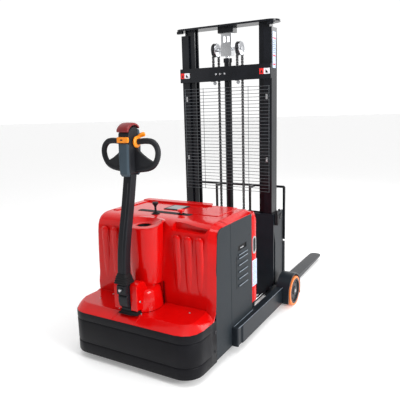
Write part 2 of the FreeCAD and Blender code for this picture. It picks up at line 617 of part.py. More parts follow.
def belly_button():
    half, depth = HEAD_W / 2, HEAD_D / 2
    cap = rounded(box(-half, half, -depth + 4, depth - 4, HEAD_H + BUTTON_GAP, HEAD_H + 48), 14, Z)
    cap = cap.makeFillet(10, [e for e in cap.Edges if e.BoundBox.ZMin > HEAD_H + 47])
    return place_head(cap.cut(rod(V(0, 0, HEAD_H), Z, 9 + 1, 34)))


def front_rocker():
    depth = HEAD_D / 2
    bar = rounded(box(-34, 34, -depth - 6, -depth + 8 - MOVE, 176, 204), 4, X)
    pivot = rod(V(-38, -depth + 1, 190), X, 4, 76)
    return place_head(fuse(bar, pivot))


def thumb_wheels():
    """Two rings on the grips' spigots, each with a lever."""
    wheels = []
    half = HEAD_W / 2 + CLEAR
    for side in (-1, 1):
        ring = tube(V(side * (half + MOVE), THUMB_Y, THUMB_Z), X * side, THUMB_R, SPIGOT_R + RUN, 12)
        lever = box(*sorted((side * (half + MOVE + 1), side * (half + MOVE + 11))),
                    THUMB_Y - 8, THUMB_Y + 8, THUMB_Z + SPIGOT_R + 4, THUMB_Z + THUMB_R + 18)
        wheels += [ring, lever]
    return [place_head(fuse(wheels[0], wheels[1])), place_head(fuse(wheels[2], wheels[3]))]


# ---------------------------------------------------------------- reach frame and outer mast
def reach_frame():
    side_plate = slab([(MAST_Y0 + 28, 66), (MAST_Y0 + 28, 485), (MAST_Y0, 580), (MAST_Y0, SIDE_TOP),
                       (SIDE_Y1, SIDE_TOP), (SIDE_Y1, 66)], X, SIDE_X0, SIDE_X1 - SIDE_X0)
    arm = box(SIDE_X0, SIDE_X1, ROLLER_YS[0] - 24, MAST_Y0 + 29, 70, 150)
    plates = [side_plate, mirrored(side_plate), arm, mirrored(arm)]
    cross = box(-SIDE_X1, SIDE_X1, MAST_Y0 - CROSS_T - CLEAR, MAST_Y0 - CLEAR, 66, SIDE_TOP)
    foot = box(-SIDE_X1, SIDE_X1, MAST_Y0 - CROSS_T - CLEAR, MAST_Y1 - 4, 56, MAST_Z0)
    joiner = [box(SIDE_X0, SIDE_X1, MAST_Y0 - CROSS_T - CLEAR, MAST_Y0 + 1, 66, SIDE_TOP)]
    joiner.append(mirrored(joiner[0]))
    shape = fuse(cross, foot, *(plates + joiner))
    for side in (-1, 1):
        for y in ROLLER_YS:
            start = V(side * (SIDE_X1 - 1), y, 110)
            shape = fuse(shape, rod(start, X * side, 14, ROLLER_X1 - SIDE_X1))
    return shape


def reach_rollers():
    rollers = []
    for side in (-1, 1):
        for y in ROLLER_YS:
            radius = (LEG_Z1 - LEG_Z0 - 2 * LEG_T) / 2 - MOVE
            start = V(side * ROLLER_X0, y, 110)
            ring = tube(start, X * side, radius, 14 + RUN, ROLLER_X1 - ROLLER_X0 - 2)
            rollers.append(ring)
    return rollers


def reach_cylinder():
    start = V(REACH_BORE_X, BULKHEAD_Y + 6, REACH_BORE_Z)
    barrel = tube(start, Y, REACH_BARREL_R, REACH_BARREL_R - 5, BEAM_Y1 - BULKHEAD_Y)
    gland = tube(V(REACH_BORE_X, BEAM_Y1 - 14, REACH_BORE_Z), Y, REACH_BARREL_R, REACH_ROD_R + RUN * 2, 20)
    return fuse(barrel, gland)


def reach_rod():
    y0 = BULKHEAD_Y + 6 + REACH_BACK + 34
    piston = rod(V(REACH_BORE_X, y0, REACH_BORE_Z), Y, REACH_BARREL_R - 5 - 0.1, 18)
    stick = rod(V(REACH_BORE_X, y0, REACH_BORE_Z), Y, REACH_ROD_R, MAST_Y0 - CROSS_T - 2 * CLEAR - y0)
    return fuse(piston, stick)


def outer_rail():
    web = box(MAST_HALF - RAIL_T, MAST_HALF, MAST_Y0, MAST_Y1, MAST_Z0, MAST_Z1)
    back = box(MAST_HALF - OUTER_FLANGE, MAST_HALF, MAST_Y0, MAST_Y0 + RAIL_T, MAST_Z0, MAST_Z1)
    front = box(MAST_HALF - OUTER_FLANGE, MAST_HALF, MAST_Y1 - RAIL_T, MAST_Y1, MAST_Z0, MAST_Z1)
    return fuse(web, back, front)


def mast_cross_beam():
    plate = box(-MAST_HALF - 4, MAST_HALF + 4, BEAM2_Y, BEAM2_Y + 14, BEAM2_Z0, BEAM2_Z1)
    pads = [box(*sorted((s * (MAST_HALF - 54), s * MAST_HALF)), BEAM2_Y + 13, MAST_Y0 - CLEAR, BEAM2_Z0 + 10, BEAM2_Z1 - 10)
            for s in (-1, 1)]
    lugs = [box(s * PULLEY_X - 12, s * PULLEY_X + 12, BEAM2_Y + 13, 607, BEAM2_Z0 - 2, BEAM2_Z0 + 20)
            for s in (-1, 1)]
    grip = tube(V(0, CYL_Y, BEAM2_Z0 + 40), Z, CYL_R + 10, CYL_R + CLEAR, 40)
    arm = box(-20, 20, BEAM2_Y + 13, CYL_Y - CYL_R - 4, BEAM2_Z0 + 40, BEAM2_Z0 + 80)
    return fuse(plate, grip, arm, *(pads + lugs))


def mesh_guard():
    """Welded wires in front of the opening on the operator's side."""
    y = MAST_Y0 - CLEAR - 3 * WIRE_R
    top = BEAM2_Z0 - 30
    count = int((top - GUARD_Z0) / GUARD_PITCH)
    wires = []
    for i in range(count + 1):
        wires.append(rod(V(-MAST_HALF + 14, y, GUARD_Z0 + i * GUARD_PITCH), X, WIRE_R, 2 * MAST_HALF - 28))
    height = count * GUARD_PITCH + 8
    for x in (-MAST_HALF + 20, -190, 0, 190, MAST_HALF - 20):
        wires.append(rod(V(x, y + WIRE_R * 1.5, GUARD_Z0 - 4), Z, WIRE_R, height))
    return fuse(wires[0], *wires[1:])


def lift_cylinder():
    barrel = tube(V(0, CYL_Y, MAST_Z0 + CLEAR), Z, CYL_R, CYL_BORE, CYL_TOP - MAST_Z0)
    base = rod(V(0, CYL_Y, MAST_Z0 + CLEAR), Z, CYL_R, 30)
    gland = tube(V(0, CYL_Y, CYL_TOP - 30), Z, CYL_R + 5, ROD_R + 2 * RUN, 30)
    return fuse(barrel, base, gland)


# ---------------------------------------------------------------- inner mast
def inner_rail():
    y0, y1 = MAST_Y0 + RAIL_T + 6, MAST_Y1 - RAIL_T - 6
    web = box(INNER_HALF - RAIL_T, INNER_HALF, y0, y1, INNER_Z0, PLATE_Z)
    back = box(INNER_IN, INNER_HALF, y0, y0 + RAIL_T, INNER_Z0, PLATE_Z)
    front = box(INNER_IN, INNER_HALF, y1 - RAIL_T, y1, INNER_Z0, PLATE_Z)
    return fuse(web, back, front)


def inner_mast_rails():
    y0 = MAST_Y0 + RAIL_T + 6
    tie = box(-INNER_IN - 1, INNER_IN + 1, y0, MAST_Y1 - RAIL_T - 6, INNER_Z0, INNER_Z0 + 16)
    tie = tie.cut(rod(V(0, CYL_Y, 0), Z, CYL_R + 6, MAST_Z1))
    rail = inner_rail()
    return fuse(rail, mirrored(rail), tie)


def top_plate():
    plate = box(-PLATE_HALF, PLATE_HALF, PLATE_Y0, PLATE_Y1, PLATE_Z + CLEAR / 10, PLATE_Z + PLATE_T)
    plate = rounded(plate, (PLATE_Y1 - PLATE_Y0) / 2 - 2, Z)
    block = box(-64, 64, CYL_Y - 34, CYL_Y + 34, PLATE_Z - 40, PLATE_Z + 1)
    return fuse(plate, block)


def lift_rod():
    """The chromed rod with the head that holds the pulleys under the top plate."""
    start = V(0, CYL_Y, MAST_Z0 + 120)
    stick = rod(start, Z, ROD_R, PULLEY_Z - 40 - start.z)
    head = box(-44, 44, CYL_Y - 28, CYL_Y + 28, PULLEY_Z - 50, PULLEY_Z + 34)
    slots = [box(x - 9, x + 9, CYL_Y - 60, CYL_Y + 60, PULLEY_Z + 50, PULLEY_Z + 96) for x in (-16, 16)]
    upright = box(-44, 44, CYL_Y - 20, CYL_Y + 20, PULLEY_Z + 33, PLATE_Z - 40 - CLEAR)
    piston = rod(start, Z, CYL_BORE - 0.1, 30)
    pin = rod(V(-PULLEY_X - PULLEY_W / 2 - 6, CYL_Y, PULLEY_Z), X, 12, 2 * PULLEY_X + PULLEY_W + 12)
    return fuse(stick, head, upright.cut(Part.makeCompound(slots)), piston, pin)


def chain_pulleys():
    wheels = []
    for side in (-1, 1):
        start = V(side * PULLEY_X - PULLEY_W / 2, CYL_Y, PULLEY_Z)
        disc = tube(start, X, PULLEY_R + 7, 12 + RUN, PULLEY_W)
        groove = tube(start + X * 2.5, X, PULLEY_R + 20, PULLEY_R - CHAIN_T / 2 - CLEAR, PULLEY_W - 5)
        wheels.append(disc.cut(groove))
    return wheels


def strand(x, y, z0, z1):
    return box(x - CHAIN_W / 2, x + CHAIN_W / 2, y - CHAIN_T / 2, y + CHAIN_T / 2, z0, z1)


def rear_chains():
    return [strand(s * PULLEY_X, CYL_Y - PULLEY_R, BEAM2_Z0 + 22, PULLEY_Z - 1) for s in (-1, 1)]


def front_chains():
    return [strand(s * PULLEY_X, CYL_Y + PULLEY_R, 648, PULLEY_Z - 1) for s in (-1, 1)]


def chain_wraps():
    wraps = []
    for side in (-1, 1):
        start = V(side * PULLEY_X - CHAIN_W / 2, CYL_Y, PULLEY_Z)
        ring = tube(start, X, PULLEY_R + CHAIN_T / 2, PULLEY_R - CHAIN_T / 2, CHAIN_W)
        wraps.append(ring.common(box(-200, 200, 500, 800, PULLEY_Z, PULLEY_Z + 100)))
    return wraps


# ---------------------------------------------------------------- carriage and forks
def carriage():
    low, high = BAR_LOW, BAR_HIGH
    bars = [box(-BAR_HALF, BAR_HALF, BAR_Y0, BAR_Y1, low[0], low[1]),
            box(-BAR_HALF, BAR_HALF, BAR_Y0, BAR_Y1, high[0], high[1])]
    arms = [box(*sorted((s * ARM_X0, s * ARM_X1)), 626, BAR_Y1, low[0], 640) for s in (-1, 1)]
    tie = box(-ARM_X1, ARM_X1, 700, 716, 560, 646)
    lugs = [box(s * PULLEY_X - 12, s * PULLEY_X + 12, CYL_Y + PULLEY_R - 4, 701, 600, 646) for s in (-1, 1)]
    braces = []
    for s in (-1, 1):
        x0, x1 = sorted((s * REST_BRACE_X - 8, s * REST_BRACE_X + 8))
        braces.append(box(x0, x1, 692, 706, 600, REST_TOP - 1))
        braces.append(box(x0, x1, 692, REST_Y0 - CLEAR, REST_TOP - 17, REST_TOP - 1))
    studs = [rod(V(s * (ARM_X1 - 2), CYL_Y, z), X * s, 8, 70) for s in (-1, 1) for z in CAR_ROLLER_ZS]
    ears = [box(*sorted((s * (BAR_HALF - 40), s * BAR_HALF)), BAR_Y0, REST_Y0 - CLEAR, EAR_Z0, EAR_Z1)
            for s in (-1, 1)]
    ear_bar = box(-BAR_HALF, BAR_HALF, BAR_Y0, BAR_Y1, EAR_Z0, EAR_Z1)
    return fuse(bars[0], *(bars[1:] + arms + [tie, ear_bar] + braces + studs + ears + lugs))


def carriage_rollers():
    return [tube(V(s * (INNER_IN + 2), CYL_Y, z), X * s, CAR_ROLLER_R, 8 + RUN, 46)
            for s in (-1, 1) for z in CAR_ROLLER_ZS]


def load_backrest():
    half = REST_HALF
    y0, y1 = REST_Y0, REST_Y1
    tube_w = REST_TUBE
    bars = [box(-half, half, y0, y1, REST_TOP - tube_w, REST_TOP), box(-half, half, y0, y1, 662, 678)]
    for s in (-1, 1):
        bars.append(box(*sorted((s * (half - tube_w), s * half)), y0, y1, REST_LOW, REST_TOP))
        bars.append(box(*sorted((s * (BAR_HALF - 40), s * half)), y0, y1, EAR_Z0, EAR_Z1))
    frame = fuse(bars[0], *bars[1:])
    return rounded(frame, 16, Y, lambda m: m.z > REST_TOP - 1 and abs(m.x) > half - 1)


def fork():
    """One fork with a tapered, round-nosed blade and two hooks over the carriage's bars."""
    top, y0 = FORK_TOP_Z, FORK_SHANK_Y0
    blade = slab([(y0, top - FORK_T), (y0, top), (FORK_TIP, top), (FORK_TIP, top - 10), (y0 + 420, top - FORK_T)],
                 X, FORK_X0, FORK_X1 - FORK_X0)
    tip = rounded(box(FORK_X0, FORK_X1, y0 - 60, FORK_TIP, 0, top + 1), 46, Z, lambda m: m.y > FORK_TIP - 1)
    blade = blade.common(tip)
    shank = box(FORK_X0, FORK_X1, y0, y0 + FORK_T - 12, top - FORK_T, FORK_SHANK_Z1)
    hooks = []
    for z, way in ((BAR_HIGH[1], 1), (BAR_LOW[0], -1)):
        low, high = sorted((z + way * MOVE, z + way * 12))
        hooks.append(box(FORK_X0 + 20, FORK_HOOK_X1, BAR_Y0 - 12, y0 + 1, low, high))
        low, high = sorted((z - way * 16, z + way * 12))
        hooks.append(box(FORK_X0 + 20, FORK_HOOK_X1, BAR_Y0 - 12, BAR_Y0 - MOVE, low, high))
    return fuse(blade, shank, *hooks)


# ---------------------------------------------------------------- build
save("chassis_frame", chassis_frame())
save("bumper", bumper())
save("front_side_panels", front_side_panel(), mirrored(front_side_panel()))
save("rear_side_panels", rear_side_panel(), mirrored(rear_side_panel()))
save("hood_deck", hood_deck())
save("hood_body", hood_body())
save("rear_cover", rear_cover())
save("charging_socket", charging_socket())
save("centre_column", centre_column())
save("cup_liner", cup_liner())
save("battery", battery())
save("hydraulic_power_pack", hydraulic_tank(), pump_motor())
save("motor_controller", motor_controller())
save("display", display())
save("dash_fittings", *dash_fittings())
save("joystick", joystick())
save("estop_button", estop_button())
for name, side in SIDES:
    save("leg_" + name, sided(leg(), side))
    save("load_wheel_" + name, sided(load_wheel(), side))
    save("load_tread_" + name, sided(load_tread(), side))
    save("caster_fork_" + name, sided(caster_fork(), side))
    save("caster_wheel_" + name, sided(caster_wheel(), side))
    save("fork_" + name, sided(fork(), side))
save("reach_cylinders", reach_cylinder(), mirrored(reach_cylinder()))
save("drive_gearbox", drive_gearbox())
save("traction_motor", traction_motor())
save("steering_cover", steering_cover())
save("tiller_bracket", tiller_bracket())
save("drive_wheel", drive_wheel())
save("drive_tyre", drive_tyre())
save("tiller_tube", tiller_tube())
save("tiller_head", tiller_head())
save("head_panels", *head_panels())
save("handle_loops", *handle_loops())
save("belly_button", belly_button())
save("front_rocker", front_rocker())
save("thumb_wheels", *thumb_wheels())
save("reach_frame", reach_frame())
save("reach_rollers", *reach_rollers())
save("reach_rods", reach_rod(), mirrored(reach_rod()))
save("outer_mast_rails", outer_rail(), mirrored(outer_rail()))
save("mast_cross_beam", mast_cross_beam())
save("mesh_guard", mesh_guard())
save("lift_cylinder", lift_cylinder())
save("inner_mast_rails", inner_mast_rails())
save("top_plate", top_plate())
save("lift_rod", lift_rod())
save("chain_pulleys", *chain_pulleys())
save("rear_chains", *rear_chains())
save("front_chains", *front_chains())
save("chain_wraps", *chain_wraps())
save("carriage", carriage())
save("carriage_rollers", *carriage_rollers())
save("load_backrest", load_backrest())
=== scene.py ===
import math

import bmesh
import bpy
from mathutils import Matrix, Vector


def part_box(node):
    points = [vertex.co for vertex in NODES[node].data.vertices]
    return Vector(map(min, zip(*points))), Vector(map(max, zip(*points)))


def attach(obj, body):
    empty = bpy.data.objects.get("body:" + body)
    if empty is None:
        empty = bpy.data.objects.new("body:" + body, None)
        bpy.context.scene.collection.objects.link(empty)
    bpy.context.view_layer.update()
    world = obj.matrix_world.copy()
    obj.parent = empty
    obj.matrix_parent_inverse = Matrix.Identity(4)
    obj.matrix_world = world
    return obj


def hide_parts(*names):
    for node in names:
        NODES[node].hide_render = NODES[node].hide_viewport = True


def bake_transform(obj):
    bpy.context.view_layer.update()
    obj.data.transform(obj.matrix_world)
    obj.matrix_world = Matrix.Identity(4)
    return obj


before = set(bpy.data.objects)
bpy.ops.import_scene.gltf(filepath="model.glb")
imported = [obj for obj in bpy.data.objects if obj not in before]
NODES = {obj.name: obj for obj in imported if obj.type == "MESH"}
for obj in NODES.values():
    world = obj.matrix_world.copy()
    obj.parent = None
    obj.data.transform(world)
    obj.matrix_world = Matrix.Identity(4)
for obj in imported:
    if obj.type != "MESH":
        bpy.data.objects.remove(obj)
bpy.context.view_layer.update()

# Pieces are written in the machine's own stations: y = 0 is under the hood, 719 mm behind the bumper's front.
BUMPER_FRONT = -0.719
SHIFT = Matrix.Translation((0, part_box("bumper")[0].y - BUMPER_FRONT, 0))
DRIVE_X, DRIVE_Y = -0.03, -0.52
SIDES = (("left", -1), ("right", 1))
DECK_Z = 0.34                    # the step above the bumper
PANEL_X = 0.448                  # outer faces of the side panels
JOYSTICK = (-0.073, -0.275)
ESTOP = (0.082, -0.215)
DISPLAY = Matrix.Translation((-0.045, -0.065, 0))
LOAD_AXLE = (0.646, 0.113)       # y and z of the load wheels' axles


# ---------------------------------------------------------------- materials
def material(name, colour, rough, metal=0.0, coat=0.0, vary=0.06, patch=9.0, grain=900.0, bump=0.02,
             rough_vary=0.06, spec=0.4):
    """A finish with slow colour drift, fine grain in its relief and uneven gloss."""
    mat = bpy.data.materials.new(name)
    mat.use_nodes = True
    nodes, links = mat.node_tree.nodes, mat.node_tree.links
    shader = nodes["Principled BSDF"]
    shader.inputs["Metallic"].default_value = metal
    shader.inputs["Specular IOR Level"].default_value = spec
    shader.inputs["Coat Weight"].default_value = coat
    shader.inputs["Coat Roughness"].default_value = 0.03
    where = nodes.new("ShaderNodeTexCoord")
    slow = nodes.new("ShaderNodeTexNoise")
    slow.inputs["Scale"].default_value = patch
    slow.inputs["Detail"].default_value = 6
    fine = nodes.new("ShaderNodeTexNoise")
    fine.inputs["Scale"].default_value = grain
    fine.inputs["Detail"].default_value = 3
    for texture in (slow, fine):
        links.new(where.outputs["Object"], texture.inputs["Vector"])
    ramp = nodes.new("ShaderNodeValToRGB")
    dark = [c * (1 - vary) for c in colour]
    light = [min(1, c * (1 + vary)) for c in colour]
    ramp.color_ramp.elements[0].position, ramp.color_ramp.elements[1].position = 0.3, 0.7
    ramp.color_ramp.elements[0].color = (*dark, 1)
    ramp.color_ramp.elements[1].color = (*light, 1)
    links.new(slow.outputs["Fac"], ramp.inputs["Fac"])
    links.new(ramp.outputs["Color"], shader.inputs["Base Color"])
    gloss = nodes.new("ShaderNodeMapRange")
    gloss.inputs["To Min"].default_value = max(0.02, rough - rough_vary)
    gloss.inputs["To Max"].default_value = rough + rough_vary
    links.new(slow.outputs["Fac"], gloss.inputs["Value"])
    links.new(gloss.outputs["Result"], shader.inputs["Roughness"])
    relief = nodes.new("ShaderNodeBump")
    relief.inputs["Strength"].default_value = bump
    relief.inputs["Distance"].default_value = 0.001
    links.new(fine.outputs["Fac"], relief.inputs["Height"])
    links.new(relief.outputs["Normal"], shader.inputs["Normal"])
    return mat


MATS = {
    "red": material("red_gloss", (0.6, 0.002, 0.002), 0.16, coat=0.12, vary=0.05, grain=220, bump=0.03,
                    rough_vary=0.03, spec=0.22),
    "slate": material("slate_powder_coat", (0.015, 0.02, 0.025), 0.5, vary=0.1, grain=1500, bump=0.12,
                      spec=0.18),
    "black": material("black_gloss_paint", (0.009, 0.012, 0.016), 0.25, coat=0.05, vary=0.2, grain=500,
                      bump=0.05, spec=0.18),
    "bumper": material("bumper_black", (0.006, 0.006, 0.008), 0.42, vary=0.2, grain=1200, bump=0.12,
                       spec=0.12),
    "mast": material("mast_black_paint", (0.007, 0.008, 0.011), 0.24, coat=0.12, vary=0.25, grain=400,
                     bump=0.06, spec=0.2),
    "leg": material("leg_slate_paint", (0.013, 0.017, 0.022), 0.3, coat=0.0, vary=0.12, grain=700,
                    bump=0.06, spec=0.13),
    "tyre": material("black_tyre", (0.02, 0.02, 0.021), 0.75, vary=0.2, grain=700, bump=0.3),
    "tread": material("orange_polyurethane", (0.85, 0.2, 0.03), 0.38, vary=0.1, grain=300, bump=0.08),
    "chrome": material("chromed_rod", (0.72, 0.73, 0.75), 0.12, metal=1.0, vary=0.03, grain=1200, bump=0.02),
    "steel": material("zinc_steel", (0.46, 0.47, 0.49), 0.34, metal=1.0, vary=0.12, grain=1000, bump=0.08),
    "dark_steel": material("oiled_steel", (0.055, 0.055, 0.06), 0.38, metal=0.7, vary=0.3, grain=900,
                           bump=0.1),
    "cast": material("cast_grey", (0.05, 0.052, 0.056), 0.55, metal=0.3, vary=0.25, grain=500, bump=0.35),
    "alloy": material("cast_alloy", (0.5, 0.51, 0.52), 0.45, metal=0.9, vary=0.1, grain=600, bump=0.2),
    "grip": material("grip_black", (0.014, 0.015, 0.018), 0.48, vary=0.15, grain=1400, bump=0.25, spec=0.2),
    "slate_plastic": material("slate_plastic", (0.04, 0.062, 0.082), 0.42, vary=0.08, grain=1300,
                              bump=0.12, spec=0.25),
    "orange": material("orange_plastic", (0.9, 0.27, 0.01), 0.32, vary=0.06, grain=800, bump=0.06),
    "dark_red": material("dark_red_plastic", (0.2, 0.01, 0.012), 0.38, vary=0.1, grain=1300, bump=0.15),
    "switch": material("switch_red", (0.8, 0.004, 0.004), 0.25, vary=0.05, grain=600, bump=0.03),
    "case": material("case_black", (0.012, 0.012, 0.014), 0.5, vary=0.2, grain=1200, bump=0.2, spec=0.2),
    "glass": material("display_face", (0.006, 0.007, 0.01), 0.12, coat=0.5, vary=0.2, grain=200, bump=0.01),
    # painted highlight: a pale bluish slate for thin strips that stand in for lit edges
    "edge": material("slate_painted_highlight", (0.26, 0.31, 0.37), 0.35, vary=0.2, patch=60, grain=700, bump=0.05,
                     spec=0.4),
    "tiller": material("tiller_satin_black", (0.009, 0.01, 0.013), 0.42, vary=0.2, grain=900, bump=0.12,
                       spec=0.2),
    "wire": material("wire_grey", (0.1, 0.11, 0.12), 0.4, metal=0.4, vary=0.15, grain=900, bump=0.08),
    "rubber": material("black_rubber", (0.009, 0.009, 0.01), 0.6, vary=0.2, grain=900, bump=0.25, spec=0.15),
    "label": material("label_film", (0.5, 0.6, 0.8), 0.35, vary=0.1, patch=60, grain=900, bump=0.03),
    "white": material("white_film", (0.8, 0.82, 0.86), 0.35, vary=0.05, patch=60, grain=900, bump=0.03),
    "sticker_red": material("red_film", (0.75, 0.02, 0.02), 0.35, vary=0.05, patch=60, grain=900, bump=0.03),
}

NODE_LOOKS = {
    "red": "hood_deck hood_body rear_cover centre_column steering_cover",
    "slate": "front_side_panels rear_side_panels",
    "black": "chassis_frame fork_left fork_right tiller_bracket tiller_tube reach_cylinders",
    "bumper": "bumper",
    "leg": "leg_left leg_right reach_frame",
    "mast": "outer_mast_rails mast_cross_beam lift_cylinder inner_mast_rails top_plate carriage "
            "load_backrest",
    "tyre": "drive_tyre caster_wheel_left caster_wheel_right",
    "tread": "load_tread_left load_tread_right",
    "chrome": "lift_rod reach_rods",
    "steel": "caster_fork_left caster_fork_right reach_rollers carriage_rollers",
    "dark_steel": "rear_chains front_chains chain_wraps",
    "cast": "drive_gearbox traction_motor drive_wheel load_wheel_left load_wheel_right chain_pulleys "
            "hydraulic_power_pack",
    "alloy": "motor_controller",
    "grip": "tiller_head handle_loops",
    "slate_plastic": "head_panels",
    "orange": "front_rocker thumb_wheels",
    "dark_red": "belly_button",
    "switch": "estop_button",
    "case": "charging_socket cup_liner battery dash_fittings joystick",
    "glass": "display",
    "wire": "mesh_guard",
}


def dress_nodes():
    """Gives each listed CAD node its finish, and bevels the sharp edges of the black, leg and mast ones."""
    for look, names in NODE_LOOKS.items():
        for name in names.split():
            node = NODES[name]
            node.data.materials.clear()
            node.data.materials.append(MATS[look])
            if look in ("black", "leg", "mast"):
                edge = node.modifiers.new("edge", "BEVEL")
                edge.width, edge.segments = 0.0018, 2
                edge.limit_method, edge.angle_limit = "ANGLE", math.radians(50)
                edge.harden_normals = True


# ---------------------------------------------------------------- mesh building
def piece(name, bm, body, look, slot=None, bevel=0.0, segments=3, smooth=35, thick=0.0, replaces=(),
          place=None, place_local=None, weighted=False):
    """Finishes a bmesh as an object that rides on body."""
    if place_local is not None:
        bm.transform(place_local)
    bmesh.ops.remove_doubles(bm, verts=bm.verts, dist=1e-6)
    bmesh.ops.recalc_face_normals(bm, faces=bm.faces)
    mesh = bpy.data.meshes.new(name)
    bm.to_mesh(mesh)
    bm.free()
    if place is not None:
        mesh.transform(place)
    mesh.transform(SHIFT)
    mesh.materials.append(MATS[look])
    mesh.polygons.foreach_set("use_smooth", [True] * len(mesh.polygons))
    mesh.set_sharp_from_angle(angle=math.radians(smooth))
    obj = bpy.data.objects.new(name, mesh)
    bpy.context.scene.collection.objects.link(obj)
    if thick:
        shell = obj.modifiers.new("shell", "SOLIDIFY")
        shell.thickness = thick
        shell.offset = -1
    if bevel:
        edge = obj.modifiers.new("edge", "BEVEL")
        edge.width = bevel
        edge.segments = segments
        edge.limit_method = "ANGLE"
        edge.angle_limit = math.radians(32)
        edge.harden_normals = True
    if weighted:
        even = obj.modifiers.new("even", "WEIGHTED_NORMAL")
        even.keep_sharp = True
    if body is not None:
        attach(obj, body)
    if replaces:
        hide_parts(*replaces)
    return obj


def add_face(bm, points):
    return bm.faces.new([bm.verts.new(p) for p in points])


def grid(rows, close_rows=False, close_columns=False, caps=False):
    """A sheet of quads through rows of points."""
    bm = bmesh.new()
    made = [[bm.verts.new(p) for p in row] for row in rows]
    count, width = len(made), len(made[0])
    for i in range(count if close_rows else count - 1):
        a, b = made[i], made[(i + 1) % count]
        for j in range(width if close_columns else width - 1):
            k = (j + 1) % width
            bm.faces.new((a[j], a[k], b[k], b[j]))
    if caps:
        bm.faces.new(list(reversed(made[0])))
        bm.faces.new(made[-1])
    return bm


def merged(*parts):
    """One bmesh from several."""
    whole = bmesh.new()
    for part in parts:
        mesh = bpy.data.meshes.new("part")
        part.to_mesh(mesh)
        whole.from_mesh(mesh)
        part.free()
        bpy.data.meshes.remove(mesh)
    return whole


def block(x0, x1, y0, y1, z0, z1):
    ring = [(x0, y0), (x1, y0), (x1, y1), (x0, y1)]
    return grid([[(x, y, z) for x, y in ring] for z in (z0, z1)], close_columns=True, caps=True)


def span(side, near, far):
    """The x range between two distances from the middle, on one side."""
    return sorted((side * near, side * far))


def outward(side):
    return "x" if side > 0 else "-x"


def prism(outline, axis, low, high):
    """An outline of pairs pushed along axis: (y, z) along x, (x, z) along y and (x, y) along z."""
    place = {"x": lambda u, v, w: (w, u, v), "y": lambda u, v, w: (u, w, v), "z": lambda u, v,
             w: (u, v, w)}[axis]
    return grid([[place(u, v, w) for u, v in outline] for w in (low, high)], close_columns=True, caps=True)


def lathe(profile, centre, axis="z", steps=48):
    """Turns (radius, along) pairs about axis through centre."""
    turn = {"z": lambda r, a, t: (r * math.cos(t), r * math.sin(t), a),
            "x": lambda r, a, t: (a, r * math.cos(t), r * math.sin(t)),
            "y": lambda r, a, t: (r * math.sin(t), a, r * math.cos(t))}[axis]
    rows = []
    for radius, along in profile:
        rows.append([Vector(turn(radius, along, 2 * math.pi * i / steps)) + Vector(centre)
                     for i in range(steps)])
    return grid(rows, close_columns=True, caps=True)


def arc(cx, cy, radius, start, end, steps):
    """Points on a circle, angles in degrees."""
    angles = [math.radians(start + (end - start) * i / steps) for i in range(steps + 1)]
    return [(cx + radius * math.cos(a), cy + radius * math.sin(a)) for a in angles]


def rounded_box_outline(half_u, half_v, radius, steps=5):
    outline = []
    for su, sv, start in ((1, 1, 0), (-1, 1, 90), (-1, -1, 180), (1, -1, 270)):
        outline += arc(su * (half_u - radius), sv * (half_v - radius), radius, start, start + 90, steps)
    return outline


def curve_through(points, steps):
    """Catmull-Rom through points, steps samples for each span."""
    points = [Vector(p) for p in points]
    line = []
    for i in range(len(points) - 1):
        p0, p1 = points[max(i - 1, 0)], points[i]
        p2, p3 = points[i + 1], points[min(i + 2, len(points) - 1)]
        for k in range(steps):
            t = k / steps
            line.append(0.5 * ((2 * p1) + (p2 - p0) * t + (2 * p0 - 5 * p1 + 4 * p2 - p3) * t * t
                               + (3 * p1 - p0 - 3 * p2 + p3) * t ** 3))
    line.append(points[-1])
    return line


def sweep(path, section, side=Vector((1, 0, 0)), scales=None):
    """Carries a section of (u, v) pairs along path. u runs along side, v across both."""
    rows = []
    for i, point in enumerate(path):
        before, after = path[max(i - 1, 0)], path[min(i + 1, len(path) - 1)]
        along = (after - before).normalized()
        across = along.cross(side).normalized()
        out = across.cross(along).normalized()
        size = scales[i] if scales else 1
        rows.append([point + out * (u * size) + across * (v * size) for u, v in section])
    return grid(rows, close_columns=True, caps=True)


def disc_outline(radius, steps=16):
    return arc(0, 0, radius, 0, 360 - 360 / steps, steps - 1)


def screw(x, y, z, axis, radius=0.005, height=0.003):
    """A domed head with a socket, pointing along axis."""
    sign = -1 if axis.startswith("-") else 1
    profile = [(0.0005, 0), (radius, 0), (radius, height * 0.4), (radius * 0.85, height * 0.8),
               (radius * 0.55, height), (radius * 0.45, height), (radius * 0.4, height * 0.4),
               (0.0005, height * 0.4)]
    return lathe([(r, sign * a) for r, a in profile], (x, y, z), axis[-1], 12)


